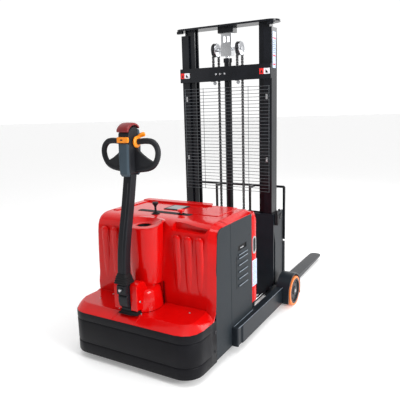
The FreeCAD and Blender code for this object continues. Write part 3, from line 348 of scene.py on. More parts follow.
# ---------------------------------------------------------------- hood
# Side view of the moulding from its rear foot over the top and down the front: y and z of the crease, then of
# the outer edge. The right outer edge comes first, then the left one, which is only a rounded corner.
HOOD_PROFILE = [
    ((0.131, 0.755), (0.128, 0.752), (0.128, 0.752)),
    ((0.131, 0.795), (0.124, 0.785), (0.124, 0.785)),
    ((0.122, 0.83), (0.112, 0.812), (0.112, 0.812)),
    ((0.1, 0.848), (0.092, 0.828), (0.092, 0.83)),
    ((0.06, 0.854), (0.055, 0.836), (0.055, 0.838)),
    ((-0.1, 0.854), (-0.1, 0.837), (-0.1, 0.84)),
    ((-0.29, 0.854), (-0.29, 0.837), (-0.27, 0.84)),
    ((-0.335, 0.853), (-0.33, 0.836), (-0.31, 0.838)),
    ((-0.37, 0.848), (-0.362, 0.833), (-0.338, 0.832)),
    ((-0.4, 0.835), (-0.388, 0.822), (-0.362, 0.82)),
    ((-0.42, 0.815), (-0.401, 0.807), (-0.377, 0.8)),
    ((-0.432, 0.786), (-0.411, 0.786), (-0.386, 0.776)),
    ((-0.438, 0.745), (-0.418, 0.745), (-0.392, 0.74)),
    ((-0.442, 0.66), (-0.427, 0.66), (-0.4, 0.66)),
    ((-0.446, 0.56), (-0.435, 0.56), (-0.404, 0.56)),
    ((-0.448, 0.46), (-0.441, 0.45), (-0.405, 0.46)),
    ((-0.447, 0.4), (-0.447, 0.385), (-0.405, 0.4)),
    ((-0.445, 0.362), (-0.458, 0.338), (-0.405, 0.365)),
    ((-0.442, 0.345), (-0.474, 0.314), (-0.408, 0.335)),
]
CREASE_RIGHT = [0.385, 0.385, 0.385, 0.385, 0.386, 0.388, 0.39, 0.391, 0.391, 0.393, 0.394, 0.394, 0.394,
                0.394, 0.393, 0.39, 0.386, 0.38, 0.376]
CREASE_LEFT = -0.418
SIDE_X = 0.4475
POCKET = [(0.142, 0.851), (0.145, 0.803), (0.345, 0.7995), (0.363, 0.802), (0.377, 0.811), (0.384, 0.828)]
POCKET_BACK = -0.378


def strip(inner, outer, crown, drop):
    """A facet between two lines, slightly crowned, with its outer edge turned down."""
    rows = []
    for i, (a, b) in enumerate(zip(inner, outer)):
        along = inner[min(i + 1, len(inner) - 1)] - inner[max(i - 1, 0)]
        normal = along.cross(b - a).normalized()
        if normal.dot(Vector((0, -0.3, 1))) < 0:
            normal = -normal
        lift = crown[i] if isinstance(crown, list) else crown
        section = [a.lerp(b, k) + normal * (lift * 4 * k * (1 - k)) for k in (0, 0.07, 0.3, 0.5, 0.7, 0.92)]
        section += [b, b - normal * 0.003 + drop[i] * 0.003, b + drop[i] * 0.012]
        rows.append(section)
    return grid(rows)


def hood_shell():
    """The red moulding: top, leaning front with its pockets, deck and the facets round them."""
    right_in = [Vector((x, row[0][0], row[0][1])) for x, row in zip(CREASE_RIGHT, HOOD_PROFILE)]
    right_out = [Vector((SIDE_X, row[1][0], row[1][1])) for row in HOOD_PROFILE]
    left_in = [Vector((CREASE_LEFT - (0.014 if i > 15 else 0), row[0][0], row[0][1]))
               for i, row in enumerate(HOOD_PROFILE)]
    left_out = [Vector((-SIDE_X, row[2][0], row[2][1])) for row in HOOD_PROFILE]
    # the deck's crease and its outer edge, right side first
    deck_in = [(0.381, -0.48), (0.386, -0.54), (0.387, -0.59), (0.38, -0.617), (0.362, -0.637),
               (0.335, -0.649), (0.3, -0.653), (0.06, -0.653), (-0.18, -0.653), (-0.33, -0.651),
               (-0.372, -0.643), (-0.405, -0.627), (-0.428, -0.605), (-0.438, -0.575), (-0.438, -0.52),
               (-0.434, -0.47)]
    corner = [(0.3335 + 0.1135 * math.cos(math.radians(a)), -0.604 - 0.114 * math.sin(math.radians(a)))
              for a in (0, 25, 47, 68, 90)]
    deck_out = [(SIDE_X, -0.505), (SIDE_X, -0.56)] + corner + [(0.06, -0.718), (-0.18, -0.718)]
    deck_out += [(-x, y) for x, y in reversed(corner)] + [(-SIDE_X, -0.53), (-SIDE_X, -0.47)]
    left_rise = [0.303] * 11 + [0.303, 0.305, 0.312, 0.322, 0.328]
    inner = right_in + [Vector((x, y, DECK_Z)) for x, y in deck_in] + list(reversed(left_in))
    outer = right_out + [Vector((x, y, z)) for (x, y), z in zip(deck_out,
            left_rise)] + list(reversed(left_out))
    crown = [0.0006] * (len(right_in) + 11) + [0.003] * 5 + [0.008] * len(left_in)
    drop = []
    for point in outer:
        inwards = Vector((-math.copysign(0.35, point.x), 0.9, 0))
        drop.append(inwards if 0.32 <= point.z <= 0.82 else Vector((0, 0, -1)))
    parts = [strip(inner, outer, crown, drop)]
    # the top and the front between the creases
    shares = [0.0, 0.012, 0.03, 0.065, 0.075, 0.09, 0.2, 0.3, 0.345, 0.358, 0.37, 0.44, 0.52, 0.6, 0.64,
              0.652, 0.668, 0.78, 0.88, 0.945, 0.962, 0.972, 0.99, 1.0]
    rows = [[a.lerp(b, share) for share in shares] for a, b in zip(left_in, right_in)]
    rows.append([Vector((p.x, p.y - 0.012, DECK_Z)) for p in rows[-1]])
    wall = grid(rows)
    cut_pocket(wall, POCKET, POCKET_BACK)
    parts.append(wall)
    floor = bmesh.new()
    loop = [Vector((x, y, DECK_Z)) for x, y in deck_in] + rows[-1]
    add_face(floor, loop)
    parts.append(floor)
    for crease, deck_end, wall_end in ((right_in, deck_in[0], rows[-1][-1]),
            (left_in, deck_in[-1], rows[-1][0])):
        corner = bmesh.new()
        add_face(corner, [crease[-1], Vector((*deck_end, DECK_Z)), wall_end])
        parts.append(corner)
    shell = merged(*parts)
    round_edges(shell, right_in + [Vector((x, y, DECK_Z)) for x, y in deck_in], 0.005)
    return piece("hood_shell", shell, "root", "red", smooth=40, weighted=True,
                 replaces=("hood_body", "hood_deck"))


def round_edges(bm, line, offset):
    """Rounds the edges that run along a line of points."""
    marks = {(round(p.x, 4), round(p.y, 4), round(p.z, 4)) for p in line}
    edges = [e for e in bm.edges if len(e.link_faces) == 2
             and all((round(v.co.x, 4), round(v.co.y, 4), round(v.co.z, 4)) in marks for v in e.verts)]
    bmesh.ops.bevel(bm, geom=edges, offset=offset, segments=3, profile=0.5, affect="EDGES",
                    clamp_overlap=True)


def cut_pocket(bm, outline, back):
    """Opens a hole in the front wall along a convex outline of x and z, closed by a panel at y = back."""
    def near(face):
        c = face.calc_center_median()
        return c.y < -0.37 and outline[0][0] - 0.05 < c.x < 0.42 and 0.76 < c.z < 0.87

    pairs = list(zip(outline, outline[1:] + outline[:1]))
    for (x0, z0), (x1, z1) in pairs:
        faces = [f for f in bm.faces if near(f)]
        geom = faces + list({e for f in faces for e in f.edges}) + list({v for f in faces for v in f.verts})
        bmesh.ops.bisect_plane(bm, geom=geom, dist=1e-6, plane_co=(x0, 0, z0), plane_no=(z1 - z0, 0, x0 - x1))
    inside = [f for f in bm.faces if near(f) and all(
        (x1 - x0) * (f.calc_center_median().z - z0) - (z1 - z0) * (f.calc_center_median().x - x0) > 0
        for (x0, z0), (x1, z1) in pairs)]
    doomed = set(inside)
    rim = {e for f in inside for e in f.edges if any(other not in doomed for other in e.link_faces)}
    bmesh.ops.delete(bm, geom=inside, context="FACES_ONLY")
    lost = [e for e in bm.edges if not e.link_faces]
    bmesh.ops.delete(bm, geom=lost, context="EDGES")
    rim = [e for e in rim if e.is_valid]
    wall = bmesh.ops.extrude_edge_only(bm, edges=rim)["geom"]
    for v in wall:
        if isinstance(v, bmesh.types.BMVert):
            v.co = Vector((v.co.x + (0.256 - v.co.x) * 0.03, back, v.co.z
                           + (0.003 if v.co.z < 0.81 else -0.001)))
    bmesh.ops.contextual_create(bm, geom=[e for e in wall if isinstance(e, bmesh.types.BMEdge)])
    bmesh.ops.bevel(bm, geom=rim, offset=0.003, segments=2, profile=0.5, affect="EDGES", clamp_overlap=True)


def pad_ribs():
    """Three raised ribs with round ends on each side of the wall."""
    parts = []
    for centre in (0.19, 0.2675, 0.3445, -0.2015, -0.279, -0.3565):
        half_w, half_h = 0.0225, 0.182
        outline = arc(0, half_h - half_w, half_w, 0, 180, 10) + arc(0, half_w - half_h, half_w, 180, 360, 10)
        rows = []
        for inset, height in ((-0.004, -0.003), (-0.0015, 0.0005), (0.0015, 0.0045), (0.005, 0.0072),
                              (0.011, 0.0088), (0.021, 0.0092)):
            rows.append([Vector((u * (half_w - inset) / half_w, -height, v * (half_h - inset) / half_h))
                         for u, v in outline])
        rib = grid(rows, close_columns=True, caps=True)
        lean = math.atan2(-0.446 + 0.44, 0.2)
        rib.transform(Matrix.Translation((centre, -0.4435, 0.599)) @ Matrix.Rotation(-lean, 4, "X"))
        parts.append(rib)
    return piece("pad_ribs", merged(*parts), "root", "red", smooth=60)


def column():
    """The half-round column with its dish, the cup in it and the pointed foot."""
    base, steps = -0.44, 36
    levels = ((0.479, 0.101, 0.102), (0.487, 0.103, 0.105), (0.56, 0.108, 0.108), (0.64, 0.116, 0.112),
              (0.72, 0.121, 0.114), (0.79, 0.1245, 0.115))
    angles = [math.pi * i / steps for i in range(steps + 1)]
    rows = []
    for level, (z, half, depth) in enumerate(levels):
        drop = 0.008 if level == 0 else 0.0
        rows.append([Vector((DRIVE_X + half * math.cos(t), base - depth * abs(math.sin(t)) ** 0.9,
                             z - drop * math.sin(t))) for t in angles])
    rim = []
    for t in angles:
        y = base - 0.116 * abs(math.sin(t)) ** 0.9
        rim.append(Vector((DRIVE_X + 0.127 * math.cos(t), y, 0.828 + 0.034 * max(0.0,
                (y + 0.56) / 0.12) ** 2.5)))
    middle = Vector((DRIVE_X, -0.4605, 0.83))
    for inset, down in ((0.0, 0.008), (0.001, 0.003), (0.004, 0.0005), (0.009, 0.0)):
        rows.append([p + (middle - p).normalized() * inset - Vector((0, 0, down)) for p in rim])
    dish = []
    around = [2 * math.pi * i / (2 * steps) for i in range(2 * steps)]
    for reach, z in ((0.062, 0.8315), (0.05, 0.83), (0.0445, 0.829), (0.0425, 0.826), (0.0415, 0.78),
                     (0.041, 0.735)):
        dish.append([Vector((middle.x + reach * math.cos(t), middle.y - reach * math.sin(t), z))
                     for t in around])
    outer = list(rows[-1])
    back, behind = [], []
    for t in around[steps + 1:]:
        back.append(Vector((DRIVE_X + 0.118 * math.cos(t), base - 0.062 * math.sin(t),
                            0.8615 + 0.006 * math.sin(t))))
        behind.append(Vector((DRIVE_X + 0.129 * math.cos(t), base - 0.09 * math.sin(t), 0.854)))
    bowl = grid([outer + back] + dish, close_columns=True)
    ends = [rows[-1][-1]] + back + [rows[-1][0]]
    low = [Vector((rim[-1].x - 0.006, base, 0.85))] + behind + [Vector((rim[0].x + 0.006, base, 0.85))]
    rear = grid([low, ends])
    foot = bmesh.new()
    add_face(foot, [p.copy() for p in rows[0]])
    piece("column_cover", merged(grid(rows), bowl, rear, foot), "root", "red", smooth=38,
          weighted=True, replaces=("centre_column", "cup_liner"))
    sleeve = lathe([(0.0005, 0.735), (0.0405, 0.735), (0.0405, 0.8255), (0.0385, 0.8265), (0.0375, 0.741),
                    (0.0005, 0.741)], (middle.x, middle.y, 0))
    piece("cup_sleeve", sleeve, "root", "rubber", smooth=40)
    # painted shade: a black band round the drum where the hood's opening lies in shadow
    well = []
    for radius, z in ((0.1355, 0.3405), (0.1355, 0.484), (0.141, 0.484), (0.141, 0.3405)):
        well.append([Vector((DRIVE_X + radius * math.cos(t), DRIVE_Y + radius * math.sin(t), z))
                     for t in [math.radians(27 + 150 * i / 48) for i in range(49)]])
    piece("steering_well_shade", grid(well, close_rows=True), "root", "rubber", smooth=30)


def dash():
    """The slot, the rear border, the lid, the display, the lever and the switch on the top of the hood."""
    slot = prism(rounded_box_outline(0.205, 0.026, 0.012), "z", 0.8535, 0.8553)
    piece("dash_slot", slot, "root", "rubber", bevel=0.0006,
          place=Matrix.Translation((-0.045, -0.214, 0)) @ Matrix.Rotation(math.radians(-1), 4, "Z"))
    border = [(-0.415, 0.055), (-0.415, 0.12), (0.13, 0.12), (0.16, 0.055)]
    piece("rear_border", prism(border, "z", 0.852, 0.8655), "root", "red", bevel=0.004)
    left = [(-0.415, -0.285), (-0.415, 0.06), (-0.365, 0.06), (-0.375, -0.285)]
    piece("left_border", prism(left, "z", 0.85, 0.86), "root", "red", bevel=0.004)
    lid = [(0.15, -0.19), (0.15, 0.085), (0.335, 0.085), (0.335, -0.19)]
    piece("dash_lid", prism(lid, "z", 0.8535, 0.8575), "root", "red", bevel=0.0025)
    piece("display_frame", prism(rounded_box_outline(0.064, 0.07, 0.008), "z", 0.854, 0.8585), "root",
          "case", bevel=0.0015, place=DISPLAY, replaces=("display",))
    piece("display_glass", prism(rounded_box_outline(0.05, 0.054, 0.004), "z", 0.858, 0.8592), "root",
          "glass", bevel=0.0005, place=DISPLAY)
    knob = lathe([(0.0005, 0.859), (0.0075, 0.86), (0.0068, 0.872), (0.0066, 0.897), (0.009, 0.907),
                  (0.0165, 0.916), (0.0195, 0.923), (0.0198, 0.928), (0.018, 0.9315), (0.01, 0.933),
                  (0.0005, 0.9335)], (*JOYSTICK, 0), steps=32)
    piece("joystick_knob", knob, "joystick", "case", smooth=45, replaces=("joystick",))
    boot = lathe([(0.0005, 0.854), (0.027, 0.854), (0.027, 0.857), (0.02, 0.859), (0.019, 0.862),
                  (0.014, 0.863), (0.013, 0.867), (0.009, 0.869), (0.0005, 0.869)], (*JOYSTICK, 0),
                 steps=32)
    collar = lathe([(0.0005, 0.854), (0.0235, 0.854), (0.0235, 0.858), (0.0215, 0.86), (0.0005, 0.86)],
                   (*ESTOP, 0), steps=32)
    piece("dash_collars", merged(boot, collar), "root", "rubber", smooth=40,
          replaces=("dash_fittings",))
    cap = lathe([(0.0005, 0.86), (0.009, 0.86), (0.0095, 0.869), (0.0205, 0.871), (0.024, 0.875),
                 (0.024, 0.88), (0.0215, 0.8845), (0.012, 0.8865), (0.0005, 0.887)], (*ESTOP, 0), steps=40)
    piece("estop_cap", cap, "estop_button", "switch", smooth=45, replaces=("estop_button",))


# ---------------------------------------------------------------- steering cover
def steering_cover():
    """The round hub cover with two upright cheeks that hold the tiller."""
    turns = [math.radians(-222 + 264 * i / 40) for i in range(41)]
    rows = []
    for radius, z in ((0.1325, 0.3435), (0.132, 0.36), (0.127, 0.41), (0.12, 0.448), (0.115, 0.461),
                      (0.106, 0.4695), (0.094, 0.4725), (0.04, 0.4735), (0.0005, 0.4735)):
        rows.append([Vector((DRIVE_X + radius * math.cos(a), DRIVE_Y + radius * math.sin(a), z))
                     for a in turns])
    drum = grid(rows, close_columns=True)
    cheeks = []
    for side in (-1, 1):
        profile = [(-0.56, 0.344)] + arc(-0.656, 0.344, 0.026, 0, 128, 8) + [(-0.6725, 0.375),
                (-0.6735, 0.42), (-0.672, 0.514), (-0.666, 0.524), (-0.65, 0.531), (-0.63, 0.5335),
                (-0.602, 0.5305), (-0.59, 0.52), (-0.58, 0.498), (-0.566, 0.478), (-0.545, 0.462)]
        cheeks.append(prism(profile, "x", *sorted((DRIVE_X + side * 0.0345, DRIVE_X + side * 0.084))))
    piece("steering_shell", merged(drum, *cheeks), "drive_unit", "red", bevel=0.006, segments=4,
          smooth=40, replaces=("steering_cover",))
    hump = [(u * 1.05, v * 0.95) for u, v in arc(0.0, 0.0, 0.0235, 0, 180, 12)]
    rubber = prism(hump, "x", DRIVE_X - 0.04, DRIVE_X + 0.0835)
    rubber.transform(Matrix.Translation((0, -0.657, 0.3415)))
    plate = prism(rounded_box_outline(0.052, 0.02, 0.01), "z", 0.3405, 0.3465)
    plate.transform(Matrix.Translation((DRIVE_X, -0.668, 0)))
    piece("foot_rubber", merged(rubber, plate), "drive_unit", "rubber", bevel=0.002)
    yoke = [(-0.6, 0.346), (-0.668, 0.346), (-0.672, 0.376), (-0.692, 0.392), (-0.7, 0.42), (-0.7, 0.452),
            (-0.69, 0.462), (-0.6, 0.462)]
    piece("tiller_yoke", prism(yoke, "x", DRIVE_X - 0.0325, DRIVE_X + 0.0325), "drive_unit", "tiller",
          bevel=0.004)
    knuckle = [(-0.03, -0.014), (-0.028, 0.04), (0.026, 0.04), (0.03, -0.014), (0.012, -0.02),
               (-0.012, -0.02)]
    knuckle = prism([(-0.68 + u, 0.484 + v) for u, v in knuckle], "x", DRIVE_X - 0.0325, DRIVE_X + 0.0325)
    piece("tiller_knuckle", knuckle, "tiller", "tiller", bevel=0.004)
    levels = ((0.534, 0.047, 0.04), (0.538, 0.0485, 0.041), (0.545, 0.044, 0.0375), (0.55, 0.0455, 0.0385),
              (0.557, 0.0405, 0.035), (0.562, 0.042, 0.036), (0.569, 0.037, 0.0325), (0.574, 0.0385, 0.0335),
              (0.582, 0.0325, 0.0305), (0.592, 0.03, 0.029))
    boot = [[Vector((DRIVE_X + u, -0.676 + v, z)) for u, v in rounded_box_outline(half_x, half_y, 0.01)]
            for z, half_x, half_y in levels]
    piece("tiller_boot", grid(boot, close_columns=True, caps=True), "tiller", "rubber", smooth=30)
    pins = [screw(DRIVE_X + side * 0.084, -0.645, 0.418, outward(side), 0.0075, 0.004) for side in (-1, 1)]
    piece("cheek_screws", merged(*pins), "drive_unit", "steel", smooth=40)
    bracket_pin = lathe([(0.0005, -0.004), (0.008, -0.004), (0.009, 0), (0.009, 0.012), (0.007, 0.016),
                         (0.0005, 0.016)], (DRIVE_X + 0.002, -0.722, 0.5), "y", 20)
    piece("tiller_pin", bracket_pin, "tiller", "steel", smooth=40)


# ---------------------------------------------------------------- tiller
HEAD = Matrix.Translation((DRIVE_X, -0.563, 1.156)) @ Matrix.Rotation(math.radians(-1), 4, "X")


def tiller_tube():
    """A square steel tube with round edges, a raised spine on its front and a gentle bend."""
    path = curve_through([(DRIVE_X, -0.678, 0.5), (DRIVE_X, -0.672, 0.58), (DRIVE_X, -0.665, 0.668),
                          (DRIVE_X, -0.656, 0.74), (DRIVE_X, -0.64, 0.82), (DRIVE_X, -0.6, 0.985),
                          (DRIVE_X, -0.565, 1.152)], 8)
    piece("tiller_bar", sweep(path, rounded_box_outline(0.0285, 0.0275, 0.007, 4)), "tiller", "tiller",
          smooth=50, replaces=("tiller_tube",))
    ridge = [(-0.012, 0.027), (-0.01, 0.0305), (0.01, 0.0305), (0.012, 0.027)]
    piece("tiller_ridge", sweep(path[6:-3], [(u, -v) for u, v in ridge]), "tiller", "tiller", smooth=30)


def head_profile(low, high, grow):
    """The head's side view, arched at the top. Grow pushes it outwards."""
    front = [(-0.044 - grow, 0.0), (-0.05 - grow, 0.03), (-0.052 - grow, 0.12), (-0.052 - grow, 0.2)]
    top = [(-0.049 - grow, 0.226), (-0.038 - grow * 0.8, 0.247 + grow * 0.6), (-0.02, 0.26 + grow),
           (0.0, 0.265 + grow), (0.022, 0.262 + grow), (0.04 + grow * 0.7, 0.251 + grow * 0.7),
           (0.05 + grow, 0.232)]
    rear = [(0.053 + grow, 0.2), (0.052 + grow, 0.12), (0.046 + grow, 0.03), (0.04 + grow, 0.0)]
    return [p for p in front + top + rear if low <= p[1] <= high]


def head():
    """The tiller's head: black core, slate shells, dark red cap, rocker, rings and closed grips."""
    def put(name, bm, body, look, **options):
        return piece(name, bm, body, look, place=HEAD, **options)

    put("head_core", prism(head_profile(0, 0.3, 0), "x", -0.039, 0.039), "tiller", "grip", bevel=0.008,
        segments=4, replaces=("tiller_head",))
    # front shell: a tapered panel with wide bevels and a squared foot
    rows = []
    for z, half, y in ((-0.014, 0.03, -0.05), (0.0, 0.0325, -0.061), (0.03, 0.0335, -0.0615),
                       (0.1, 0.0355, -0.061), (0.166, 0.037, -0.0585), (0.172, 0.037, -0.0565)):
        rows.append([Vector((x, yy, z)) for x, yy in ((-half, -0.042), (-half, y + 0.009),
                (-half + 0.009, y), (half - 0.009, y), (half, y + 0.009), (half, -0.042))])
    front = grid(rows, close_columns=True, caps=True)
    rear_rows = []
    for z, half, y in ((-0.01, 0.034, 0.046), (0.0, 0.037, 0.054), (0.06, 0.04, 0.059), (0.15, 0.041, 0.062),
                       (0.215, 0.041, 0.062), (0.246, 0.041, 0.054), (0.252, 0.04, 0.046)):
        rear_rows.append([Vector((x, yy, z)) for x, yy in ((-half, 0.028), (-half, y - 0.01),
                (-half + 0.012, y), (half - 0.012, y), (half, y - 0.01), (half, 0.028))])
    rear = grid(rear_rows, close_columns=True, caps=True)
    put("head_shells", merged(front, rear), "tiller", "slate_plastic", bevel=0.0025,
        replaces=("head_panels",))
    # cap
    arch = curve_through([(0, -0.056, 0.236), (0, -0.052, 0.247), (0, -0.041, 0.2605), (0, -0.02, 0.2735),
                          (0, 0.003, 0.278), (0, 0.024, 0.2735), (0, 0.04, 0.264), (0, 0.048, 0.256)], 4)
    cap_rows = []
    for i, p in enumerate(arch):
        along = (arch[min(i + 1, len(arch) - 1)] - arch[max(i - 1, 0)]).normalized()
        normal = Vector((0, -along.z, along.y))
        end = min(1.0, min(i, len(arch) - 1 - i) / 3)
        thick = 0.005 + 0.005 * end
        half = 0.041 - 0.002 * (1 - end)
        row = []
        for u, v in ((-half, -0.002), (-half, 0.35 * thick), (-half + 0.003, 0.8 * thick),
                     (-half + 0.01, thick), (0, thick * 1.12), (half - 0.01, thick),
                     (half - 0.003, 0.8 * thick), (half, 0.35 * thick), (half, -0.002)):
            row.append(p + Vector((u, 0, 0)) + normal * v)
        cap_rows.append(row)
    put("head_cap", grid(cap_rows, close_columns=True, caps=True), "belly_button", "dark_red",
        smooth=55, replaces=("belly_button",))
    # rocker
    rocker = [(-0.038, 0.177), (0.036, 0.177), (0.04, 0.183), (0.04, 0.204), (0.036, 0.209), (-0.038, 0.209)]
    put("rocker_bar", prism(rocker, "y", -0.064, -0.05), "front_rocker", "orange", bevel=0.0035,
        replaces=("front_rocker",))
    put("rocker_mark", prism(rounded_box_outline(0.0085, 0.0035, 0.002), "y", -0.0645, -0.0635),
        "front_rocker", "case", place_local=Matrix.Translation((-0.004, 0, 0.193)))
    # grips
    for name, side in SIDES:
        line = curve_through([(side * 0.05, 0.007, 0.18), (side * 0.075, 0.007, 0.183),
                              (side * 0.12, 0.007, 0.186), (side * 0.158, 0.007, 0.18),
                              (side * 0.183, 0.007, 0.158), (side * 0.193, 0.007, 0.128),
                              (side * 0.19, 0.007, 0.098), (side * 0.178, 0.007, 0.07),
                              (side * 0.158, 0.007, 0.047), (side * 0.128, 0.007, 0.033),
                              (side * 0.085, 0.007, 0.025), (side * 0.04, 0.007, 0.022)], 6)
        sizes = [1.0 + 0.06 * math.sin(math.pi * min(1, i / 30)) for i in range(len(line))]
        grip = sweep(line, disc_outline(0.016, 20), side=Vector((0, 1, 0)), scales=sizes)
        web = [(0.038, 0.026), (0.038, 0.148), (0.05, 0.142), (0.085, 0.112), (0.118, 0.09), (0.166, 0.066),
               (0.16, 0.05), (0.128, 0.034), (0.085, 0.026)]
        web = prism([(side * u, v) for u, v in web], "y", -0.004, 0.018)
        put("grip_" + name, merged(grip, web), "tiller", "grip", bevel=0.003, smooth=50,
            replaces=("handle_loops",))
        ring = lathe([(0.0105, 0.0), (0.024, -0.001), (0.0315, 0.003), (0.033, 0.007), (0.032, 0.012),
                      (0.025, 0.0165), (0.0105, 0.017)], (0, 0, 0), "x", 36)
        ring.transform(Matrix.Translation((side * 0.0425, 0.007, 0.18)) @ Matrix.Scale(side, 4, (1, 0, 0)))
        arm = curve_through([(side * 0.052, 0.014, 0.198), (side * 0.058, 0.02, 0.21),
                             (side * 0.07, 0.028, 0.219), (side * 0.088, 0.035, 0.224)], 4)
        lever = sweep(arm, [(u, v) for u, v in rounded_box_outline(0.0075, 0.01, 0.004, 3)],
                      side=Vector((1, 0, 0)), scales=[1.0, 1, 1, 1, 1, 1, 1.1, 1.15, 1.2, 1.2, 1.2, 1.15,
                0.9][:len(arm)])
        put("thumb_ring_" + name, merged(ring, lever), "thumb_wheels", "orange", smooth=40,
            bevel=0.001, replaces=("thumb_wheels",))


# ---------------------------------------------------------------- bumper and side panels
def bumper_skin():
    """The wrap-round skirt with two shallow grooves and rolled edges."""
    path = [(SIDE_X + 0.0005, -0.4495)]
    path += [(SIDE_X + 0.0005, -0.52), (SIDE_X + 0.0005, -0.58)]
    path += [(0.333 + 0.115 * math.cos(math.radians(a)), -0.604 - 0.115 * math.sin(math.radians(a)))
             for a in range(0, 91, 9)]
    path += [(0.16, -0.719)]
    path = path + [(-x, y) for x, y in reversed(path)]
    profile = [(0.006, 0.04), (0.0015, 0.0405), (0.0, 0.044), (0.0, 0.103), (0.0008, 0.105),
               (0.0042, 0.1075), (0.0042, 0.113), (0.0008, 0.1155), (0.0, 0.1175), (0.0, 0.246),
               (0.0008, 0.248), (0.0042, 0.2505), (0.0042, 0.256), (0.0008, 0.2585), (0.0, 0.2605),
               (0.0, 0.301), (0.0006, 0.3028), (0.0035, 0.3034)]
    rows = []
    for i, (x, y) in enumerate(path):
        before, after = path[max(i - 1, 0)], path[min(i + 1, len(path) - 1)]
        along = Vector((after[0] - before[0], after[1] - before[1], 0)).normalized()
        inward = Vector((along.y, -along.x, 0))
        if inward.dot(Vector((-x, -0.45 - y, 0))) < 0:
            inward = -inward
        fade = 1.0 if y < -0.53 else 0.0
        rows.append([Vector((x, y, z)) + inward * (d if d > 0.005 or z < 0.045 or z > 0.29 else d * fade)
                     for d, z in profile])
    piece("bumper_skin", grid(rows), "root", "bumper", smooth=50, thick=0.004, replaces=("bumper",))
    bolts = [screw(side * PANEL_X, -0.462, z, outward(side), 0.0085, 0.004) for side in (-1, 1)
             for z in (0.115, 0.235)]
    piece("bumper_bolts", merged(*bolts), "root", "dark_steel", smooth=40)


def panel_sheet(outline, holes, x, thickness):
    """A flat panel with rectangular holes, cut as a grid so that its faces stay clean."""
    bm = bmesh.new()
    loop = [bm.verts.new((x, y, z)) for y, z in outline]
    bm.faces.new(loop)
    for y0, y1, z0, z1 in holes:
        for co, no in (((x, y0, 0), (0, 1, 0)), ((x, y1, 0), (0, 1, 0)), ((x, 0, z0), (0, 0, 1)),
                       ((x, 0, z1), (0, 0, 1))):
            geom = bm.verts[:] + bm.edges[:] + bm.faces[:]
            bmesh.ops.bisect_plane(bm, geom=geom, dist=1e-7, plane_co=co, plane_no=no)
    inside = []
    for face in bm.faces:
        c = face.calc_center_median()
        if any(y0 < c.y < y1 and z0 < c.z < z1 for y0, y1, z0, z1 in holes):
            inside.append(face)
    bmesh.ops.delete(bm, geom=inside, context="FACES")
    result = bmesh.ops.extrude_face_region(bm, geom=bm.faces[:])
    moved = [v for v in result["geom"] if isinstance(v, bmesh.types.BMVert)]
    bmesh.ops.translate(bm, verts=moved, vec=(-math.copysign(thickness, x), 0, 0))
    return bm


def side_panels():
    """The slate side panels: a plain front one and a rear one with a finger slot and louvres."""
    right = [(-0.449, 0.326), (-0.441, 0.426), (-0.433, 0.605), (-0.422, 0.72), (-0.412, 0.8),
             (-0.402, 0.818), (-0.384, 0.83), (-0.36, 0.8345)]
    left = [(-0.449, 0.312), (-0.41, 0.33), (-0.404, 0.46), (-0.403, 0.605), (-0.396, 0.72), (-0.38, 0.795),
            (-0.36, 0.822), (-0.33, 0.8345)]
    parts, lips = [], []
    for side, edge in ((1, right), (-1, left)):
        x = side * PANEL_X
        outline = [(-0.449, 0.05), (-0.249, 0.05), (-0.249, 0.8345)] + list(reversed(edge))
        parts.append(panel_sheet(outline, [], x, 0.004))
        holes = [(-0.149, -0.026, 0.636, 0.668)]
        outline = [(-0.247, 0.172), (0.058, 0.172), (0.058, 0.8345), (-0.247, 0.8345)]
        parts.append(panel_sheet(outline, holes, x, 0.004))
        for z in LOUVRE_ZS:
            lip = [(-0.001, 0.015), (0.0012, 0.014), (0.006, 0.004), (0.0064, 0.001), (0.005, -0.001),
                   (-0.002, 0.0)]
            blade = grid([[Vector((x + side * u * k, y, z + v)) for u, v in lip]
                          for y, k in ((-0.152, 0.2), (-0.147, 1), (-0.02, 1), (-0.015, 0.2))],
                         close_columns=True, caps=True)
            lips.append(blade)
    piece("side_panels", merged(*parts), "root", "slate", bevel=0.0012, segments=2,
          replaces=("front_side_panels", "rear_side_panels"))
    piece("louvre_lips", merged(*lips), "root", "slate", smooth=40)
    # painted highlights: pale strips along the louvres' upper edges stand in for the light they catch
    lights = [block(*span(side, 0.4535, 0.456), -0.147, -0.02, z + 0.003, z + 0.0062)
              for side in (-1, 1) for z in LOUVRE_ZS]
    piece("louvre_painted_highlights", merged(*lights), "root", "edge", bevel=0.0008, segments=2)
    # painted shade: thin black strips where the rear panels have a groove, standing in for its shadow
    grooves = [block(*span(side, 0.447, 0.4487), -0.176, -0.171, 0.398, 0.606) for side in (-1, 1)]
    piece("panel_groove_shades", merged(*grooves), "root", "rubber")
    bolts = []
    for side in (-1, 1):
        axis = outward(side)
        bolts += [screw(side * PANEL_X, y, z, axis, 0.0055, 0.0025) for y, z in ((0.026, 0.699),
                (0.026, 0.25), (-0.185, 0.575))]
    piece("panel_bolts", merged(*bolts), "root", "dark_steel", smooth=40)
    pocket = [box_side(side, -0.152, -0.023, 0.632, 0.672) for side in (-1, 1)]
    piece("slot_wells", merged(*pocket), "root", "rubber", smooth=30)
    bars = [block(*span(side, 0.4395, 0.446), -0.11, -0.062, 0.644, 0.65) for side in (-1, 1)]
    piece("slot_bars", merged(*bars), "root", "steel", bevel=0.001)


def box_side(side, y0, y1, z0, z1):
    return block(*span(side, 0.43, 0.4435), y0, y1, z0, z1)


LOUVRE_ZS = (0.405, 0.452, 0.496, 0.54, 0.583, 0.607)


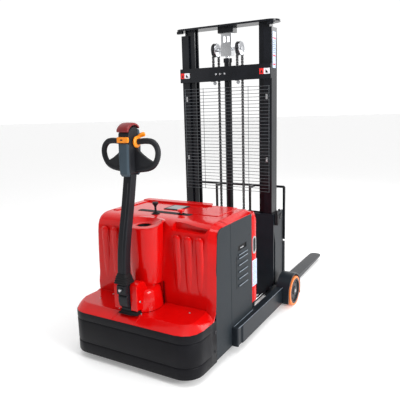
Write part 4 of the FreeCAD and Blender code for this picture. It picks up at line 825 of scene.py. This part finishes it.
def rear_cover():
    """The red rear cover with chamfered corners, and the battery socket and label on its right side."""
    path = [(0.447, 0.0605), (0.447, 0.122), (0.444, 0.136), (0.436, 0.148), (0.424, 0.155), (0.41, 0.1575),
            (0.2, 0.1575)]
    path = path + [(-x, y) for x, y in reversed(path)]
    rows = []
    for z, pull in ((0.2185, 0.002), (0.2215, 0.0), (0.5, 0.0), (0.77, 0.0), (0.8, 0.01), (0.8335, 0.03)):
        rows.append([Vector((x * (1 - pull * 0.1), y - (pull if y > 0.09 else 0), z)) for x, y in path])
    piece("rear_shell", grid(rows), "root", "red", smooth=50, thick=0.004, replaces=("rear_cover",))
    oval = arc(0, 0.032, 0.028, 0, 180, 12) + arc(0, -0.032, 0.028, 180, 360, 12)
    rings = []
    for size, depth in ((1.0, 0.002), (1.0, 0.0065), (0.92, 0.008), (0.78, 0.008), (0.72, 0.003),
                        (0.7, -0.002)):
        rings.append([Vector((0.4455 + depth * 0.6, 0.097 + u * size,
                              0.613 + v * (size + 0.3 * (1 - size)))) for u, v in oval])
    piece("socket_rim", grid(rings, close_columns=True), "root", "alloy", slot="case_black", smooth=40,
          replaces=("charging_socket",))
    inner = prism([(0.097 + u * 0.76, 0.613 + v * 0.83) for u, v in oval], "x", 0.4445, 0.4476)
    piece("socket_core", inner, "root", "case", bevel=0.0006)
    film = [(0.066, 0.33), (0.136, 0.33), (0.138, 0.332), (0.138, 0.508), (0.136, 0.51), (0.066, 0.51)]
    piece("rear_label", prism(film, "x", 0.447, 0.4476), "root", "label")
    lines = [block(0.4475, 0.4479, 0.07, 0.132 - 0.009 * (k % 3), 0.34 + 0.012 * k, 0.3415 + 0.012 * k)
             for k in range(14)]
    piece("label_lines", merged(*lines), "root", "slate_plastic")


# ---------------------------------------------------------------- small fittings
def deck_details():
    """Screws on the deck and the two joints on the front facet."""
    spots = [(-0.3, -0.47), (-0.118, -0.628), (0.052, -0.638), (0.3, -0.5), (-0.33, -0.56)]
    screws = [screw(x, y, DECK_Z, "z", 0.006, 0.0028) for x, y in spots]
    piece("deck_screws", merged(*screws), "root", "steel", smooth=40)
    seams = []
    for x, lean in ((-0.106, 0.012), (0.057, 0.0)):
        seams.append(grid([[Vector((x + lean - 0.0014, -0.654, 0.34)), Vector((x + lean, -0.656, 0.3425)),
                            Vector((x + lean + 0.0014, -0.654, 0.34))],
                           [Vector((x - 0.0014, -0.718, 0.3045)), Vector((x, -0.7205, 0.306)),
                            Vector((x + 0.0014, -0.718, 0.3045))]], close_columns=True, caps=True))
    seams.append(grid([[Vector((x, -0.289, z)) for x, z in ((0.389, 0.855), (0.42, 0.8495),
            (0.447, 0.8385))], [Vector((x, -0.2865, z + 0.0015)) for x, z in ((0.389, 0.855),
            (0.42, 0.8495), (0.447, 0.8385))], [Vector((x, -0.284, z))
            for x, z in ((0.389, 0.855), (0.42, 0.8495), (0.447, 0.8385))]]))
    piece("moulding_joints", merged(*seams), "root", "red", smooth=30)


def chain(name, x, y, z0, z1, replaces):
    """One leaf chain: rows of figure-eight plates spread from z0 to z1, on no body."""
    parts = []
    pitch = 0.0127
    count = max(1, int((z1 - z0) / pitch))
    for i in range(count):
        z = z0 + (i + 0.5) * (z1 - z0) / count
        length = (z1 - z0) / count
        offsets = (-0.0085, -0.003, 0.003, 0.0085) if i % 2 else (-0.0057, 0.0, 0.0057)
        for dx in offsets:
            outline = []
            for v, half in ((-0.78, 0.002), (-0.62, 0.0042), (-0.4, 0.0042), (0.0, 0.0028), (0.4, 0.0042),
                            (0.62, 0.0042), (0.78, 0.002)):
                outline.append((half, v * length))
            outline += [(-half, v) for half, v in reversed(outline)]
            plate = prism([(y + u, z + v) for u, v in outline], "x", x + dx - 0.0011, x + dx + 0.0011)
            parts.append(plate)
    strand = piece(name, merged(*parts), None, "dark_steel", smooth=30, replaces=replaces)
    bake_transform(strand)
    return strand


FILM_X = {-1: -0.374, 1: 0.29}


def mast_details():
    """Bolts, clips, ring nuts, hose, films and the rod head's furniture."""
    bolts = [screw(x, 0.562, 1.757, "-y", 0.008, 0.005) for x in (-0.062, -0.028, 0.01)]
    piece("beam_bolts", merged(*bolts), "outer_mast", "steel", smooth=40)
    rings = []
    for x in (-0.09, 0.106):
        ring = lathe([(0.008, -0.004), (0.013, -0.004), (0.0145, 0), (0.013, 0.004), (0.008, 0.004)],
                     (x, 0.596, 1.692), "y", 24)
        rings.append(ring)
        rings.append(lathe([(0.0005, 1.7), (0.006, 1.7), (0.006, 1.716), (0.0005, 1.716)], (x, 0.596, 0),
                           "z", 12))
    piece("anchor_rings", merged(*rings), "outer_mast", "steel", smooth=40)
    for name, side in SIDES:
        base = FILM_X[side]
        for kind, x0, x1 in (("red", 0.0, 0.034), ("white", 0.034, 0.082)):
            film = prism([(base + x0, 1.738), (base + x1 - 0.001, 1.738), (base + x1 - 0.001, 1.778),
                          (base + x0, 1.778)], "y", 0.5612, 0.5619)
            look = "sticker_red" if kind == "red" else "white"
            piece("beam_film_" + kind + "_" + name, film, "outer_mast", look)
        mark_x = base + 0.008
        mark = prism([(mark_x, 1.747), (mark_x + 0.018, 1.747), (mark_x + 0.009, 1.768)],
                     "y", 0.5607, 0.5613)
        block_mark = prism([(mark_x + 0.04, 1.745), (mark_x + 0.062, 1.745),
                            (mark_x + 0.054, 1.756), (mark_x + 0.04, 1.77)], "y", 0.5607, 0.5613)
        piece("beam_marks_" + name, merged(mark, block_mark), "outer_mast", "case")
    clips = []
    for side in (-1, 1):
        for z in (1.58, 1.12):
            clips.append(block(*span(side, 0.33, 0.343), 0.583, 0.59, z - 0.018, z + 0.018))
            clips.append(screw(side * 0.3365, 0.583, z, "-y", 0.006, 0.004))
    piece("rail_clips", merged(*clips), "outer_mast", "alloy", bevel=0.001)
    hose = curve_through([(0.02, 0.596, 1.715), (0.034, 0.592, 1.66), (0.036, 0.592, 1.58),
                          (0.034, 0.592, 1.3), (0.034, 0.592, 0.9), (0.034, 0.592, 0.4), (0.03, 0.6, 0.16)],
                         8)
    piece("lift_hose", sweep(hose, disc_outline(0.0062, 12)), "outer_mast", "rubber", smooth=60)
    rail_label = prism([(0.606, 1.78), (0.664, 1.78), (0.664, 2.03), (0.606, 2.03)], "x", 0.3742, 0.3748)
    piece("rail_film", rail_label, "outer_mast", "label")
    marks = [block(0.3747, 0.3752, 0.612, 0.658, z, z + 0.01) for z in (1.8, 1.86, 1.98)]
    piece("rail_film_bands", merged(*marks), "outer_mast", "sticker_red")
    stripes = [block(0.3747, 0.3752, 0.614, 0.656 - 0.01 * (k % 2), 1.885 + 0.013 * k, 1.889 + 0.013 * k)
               for k in range(7)]
    piece("rail_film_lines", merged(*stripes), "outer_mast", "slate_plastic")
    clamps = [block(*span(side, 0.352, 0.398), 0.562, 0.588, 2.074, 2.0935) for side in (-1, 1)]
    clamps += [screw(side * 0.375, 0.562, 2.084, "-y", 0.007, 0.005) for side in (-1, 1)]
    piece("plate_clamps", merged(*clamps), "inner_mast", "mast", bevel=0.002)
    faces = []
    for side in (-1, 1):
        for out in (-1, 1):
            x = side * 0.1 + out * 0.013
            face = lathe([(0.014, 0.0), (0.02, 0.002), (0.034, 0.002), (0.038, 0.0042), (0.049, 0.0045),
                          (0.0505, 0.0)], (0, 0, 0), "x", 40)
            face.transform(Matrix.Translation((x, 0.64, 1.938)) @ Matrix.Scale(out, 4, (1, 0, 0)))
            faces.append(face)
    piece("pulley_faces", merged(*faces), "chain_pulleys", "steel", smooth=40)


def reach_details():
    """The switch box, boss and bolts on the right reach plate."""
    box_parts = block(0.3925, 0.418, 0.6, 0.64, 0.625, 0.7)
    cap = block(0.3925, 0.412, 0.606, 0.634, 0.698, 0.735)
    lever = block(0.396, 0.404, 0.596, 0.602, 0.64, 0.73)
    piece("reach_switch", merged(box_parts, cap, lever), "outer_mast", "case", bevel=0.002)
    boss = lathe([(0.0005, 0), (0.026, 0), (0.026, 0.004), (0.022, 0.006), (0.02, 0.004), (0.006, 0.004),
                  (0.0005, 0.006)], (0.392, 0.731, 0.67), "x", 32)
    top_bolt = lathe([(0.0005, 0.712), (0.01, 0.712), (0.01, 0.722), (0.006, 0.728), (0.0005, 0.73)],
                     (0.384, 0.719, 0), "z", 6)
    piece("reach_bosses", merged(boss, top_bolt), "outer_mast", "mast", smooth=40)
    # painted shade: a black strip standing in for the shadowed gap in the reach plate
    gap = block(0.3915, 0.393, 0.768, 0.779, 0.43, 0.63)
    piece("reach_gap_shade", gap, "outer_mast", "rubber")


def leg_details():
    """The closed, chamfered front ends of the legs and pale strips along their tops, painted highlights for
    their lit edges.
    """
    for name, side in SIDES:
        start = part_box("leg_" + name)[0].y - SHIFT.translation.y
        inner, outer = sorted((side * 0.4375, side * 0.4895), key=abs)
        plan = [(inner, start - 0.0035), (outer - side * 0.006, start - 0.0035), (outer, start + 0.004),
                (outer, start + 0.012), (inner, start + 0.0005)]
        piece("leg_end_" + name, prism(plan, "z", 0.051, 0.1695), "root", "leg", bevel=0.0015)
        # painted highlights: pale strips on the legs' top edges stand in for lit edges
        top = [block(*span(side, 0.4865, 0.4895), start + 0.01, 0.545, 0.169, 0.1712),
               block(*span(side, 0.45, 0.453), start + 0.02, 0.062, 0.1698, 0.1716)]
        piece("leg_painted_highlights_" + name, merged(*top), "root", "edge", bevel=0.0008, segments=2)


def wheel_details():
    """Hub faces with a cap and a ring of bolts on the load wheels."""
    for name, side in SIDES:
        x = side * 0.5335
        disc = lathe([(0.0175, 0.0), (0.03, 0.0), (0.034, 0.0035), (0.046, 0.003), (0.06, 0.0),
                      (0.082, 0.0005), (0.0825, -0.003), (0.0175, -0.003)], (0, 0, 0), "x", 56)
        disc.transform(Matrix.Translation((x, *LOAD_AXLE)) @ Matrix.Scale(side, 4, (1, 0, 0)))
        bolts = []
        for k in range(6):
            a = 2 * math.pi * k / 6
            bolts.append(screw(x + side * 0.001, LOAD_AXLE[0] + 0.062 * math.cos(a),
                               LOAD_AXLE[1] + 0.062 * math.sin(a), outward(side), 0.0055, 0.004))
        piece("hub_face_" + name, merged(disc, *bolts), "load_wheel_" + name, "cast", smooth=40)
        cap = lathe([(0.0005, 0.0065), (0.01, 0.006), (0.0145, 0.003), (0.015, -0.012), (0.0005, -0.012)],
                    (0, 0, 0), "x", 28)
        cap.transform(Matrix.Translation((side * 0.543, *LOAD_AXLE)) @ Matrix.Scale(side, 4, (1, 0, 0)))
        piece("axle_cap_" + name, cap, "root", "steel", smooth=40)


# ---------------------------------------------------------------- stage
def stage():
    """A plain pale floor, a white surround that is dimmer behind the machine, and four soft lamps."""
    size = 60.0
    floor = bpy.data.meshes.new("floor")
    floor.from_pydata([(-size, -size, 0), (size, -size, 0), (size, size, 0), (-size, size, 0)], [],
                      [(0, 1, 2, 3)])
    ground = bpy.data.objects.new("floor", floor)
    bpy.context.scene.collection.objects.link(ground)
    pale = bpy.data.materials.new("pale_floor")
    pale.use_nodes = True
    paint = pale.node_tree.nodes["Principled BSDF"].inputs
    paint["Base Color"].default_value = (0.86, 0.86, 0.86, 1)
    paint["Roughness"].default_value = 0.7
    paint["Emission Color"].default_value = (1, 1, 1, 1)
    paint["Emission Strength"].default_value = 0.22
    floor.materials.append(pale)
    world = bpy.data.worlds.new("world")
    world.use_nodes = True
    nodes, links = world.node_tree.nodes, world.node_tree.links
    where, split, ramp = (nodes.new(kind) for kind in ("ShaderNodeTexCoord", "ShaderNodeSeparateXYZ",
            "ShaderNodeMapRange"))
    links.new(where.outputs["Generated"], split.inputs["Vector"])
    links.new(split.outputs["Y"], ramp.inputs["Value"])
    ramp.inputs["From Min"].default_value, ramp.inputs["From Max"].default_value = -0.45, 0.15
    ramp.inputs["To Min"].default_value, ramp.inputs["To Max"].default_value = 0.42, 1.05
    links.new(ramp.outputs["Result"], nodes["Background"].inputs["Strength"])
    nodes["Background"].inputs["Color"].default_value = (1, 1, 1, 1)
    bpy.context.scene.world = world
    bpy.context.scene.view_settings.view_transform = "Standard"
    lamp("key", (4.6, -1.7, 2.5), 170, 1.8)
    lamp("fill", (-3.2, -3.4, 2.8), 12, 2.4)
    lamp("back", (1.5, 4.0, 3.6), 60, 2.4)
    lamp("top", (0.6, -1.6, 4.2), 40, 1.6)


def lamp(name, spot, power, size):
    light = bpy.data.lights.new(name, "AREA")
    light.energy = power
    light.size = size
    obj = bpy.data.objects.new(name, light)
    obj.location = spot
    obj.rotation_euler = (Vector((0, -0.3, 0.8)) - Vector(spot)).to_track_quat("-Z", "Y").to_euler()
    bpy.context.scene.collection.objects.link(obj)


def camera():
    """Azimuth, elevation and roll of a standing onlooker at the machine's right front."""
    azimuth, elevation, roll = math.radians(30.392), math.radians(10.949), math.radians(-1.618)
    back = Vector((math.sin(azimuth) * math.cos(elevation), -math.cos(azimuth) * math.cos(elevation),
                   math.sin(elevation)))
    right = Vector((math.cos(azimuth), math.sin(azimuth), 0))
    up = back.cross(right)
    turned = right * math.cos(roll) + up * math.sin(roll)
    upright = up * math.cos(roll) - right * math.sin(roll)
    data = bpy.data.cameras.new("camera")
    data.sensor_width = 36.0
    data.lens = 43.4
    data.clip_end = 60
    obj = bpy.data.objects.new("camera", data)
    turn = Matrix((turned, upright, back)).transposed().to_4x4()
    obj.matrix_world = SHIFT @ Matrix.Translation((1.7031, -2.7368, 1.521)) @ turn
    bpy.context.scene.collection.objects.link(obj)
    bpy.context.scene.camera = obj


# ---------------------------------------------------------------- build
dress_nodes()
hood_shell()
pad_ribs()
column()
dash()
deck_details()
steering_cover()
tiller_tube()
head()
bumper_skin()
side_panels()
rear_cover()
mast_details()
reach_details()
leg_details()
wheel_details()
for chain_name, chain_side in SIDES:
    chain("rear_chain_" + chain_name, chain_side * 0.1, 0.596, 1.727, 1.937,
          ("rear_chains",))
    chain("front_chain_" + chain_name, chain_side * 0.1, 0.684, 0.648, 1.937,
          ("front_chains",))
stage()
camera()
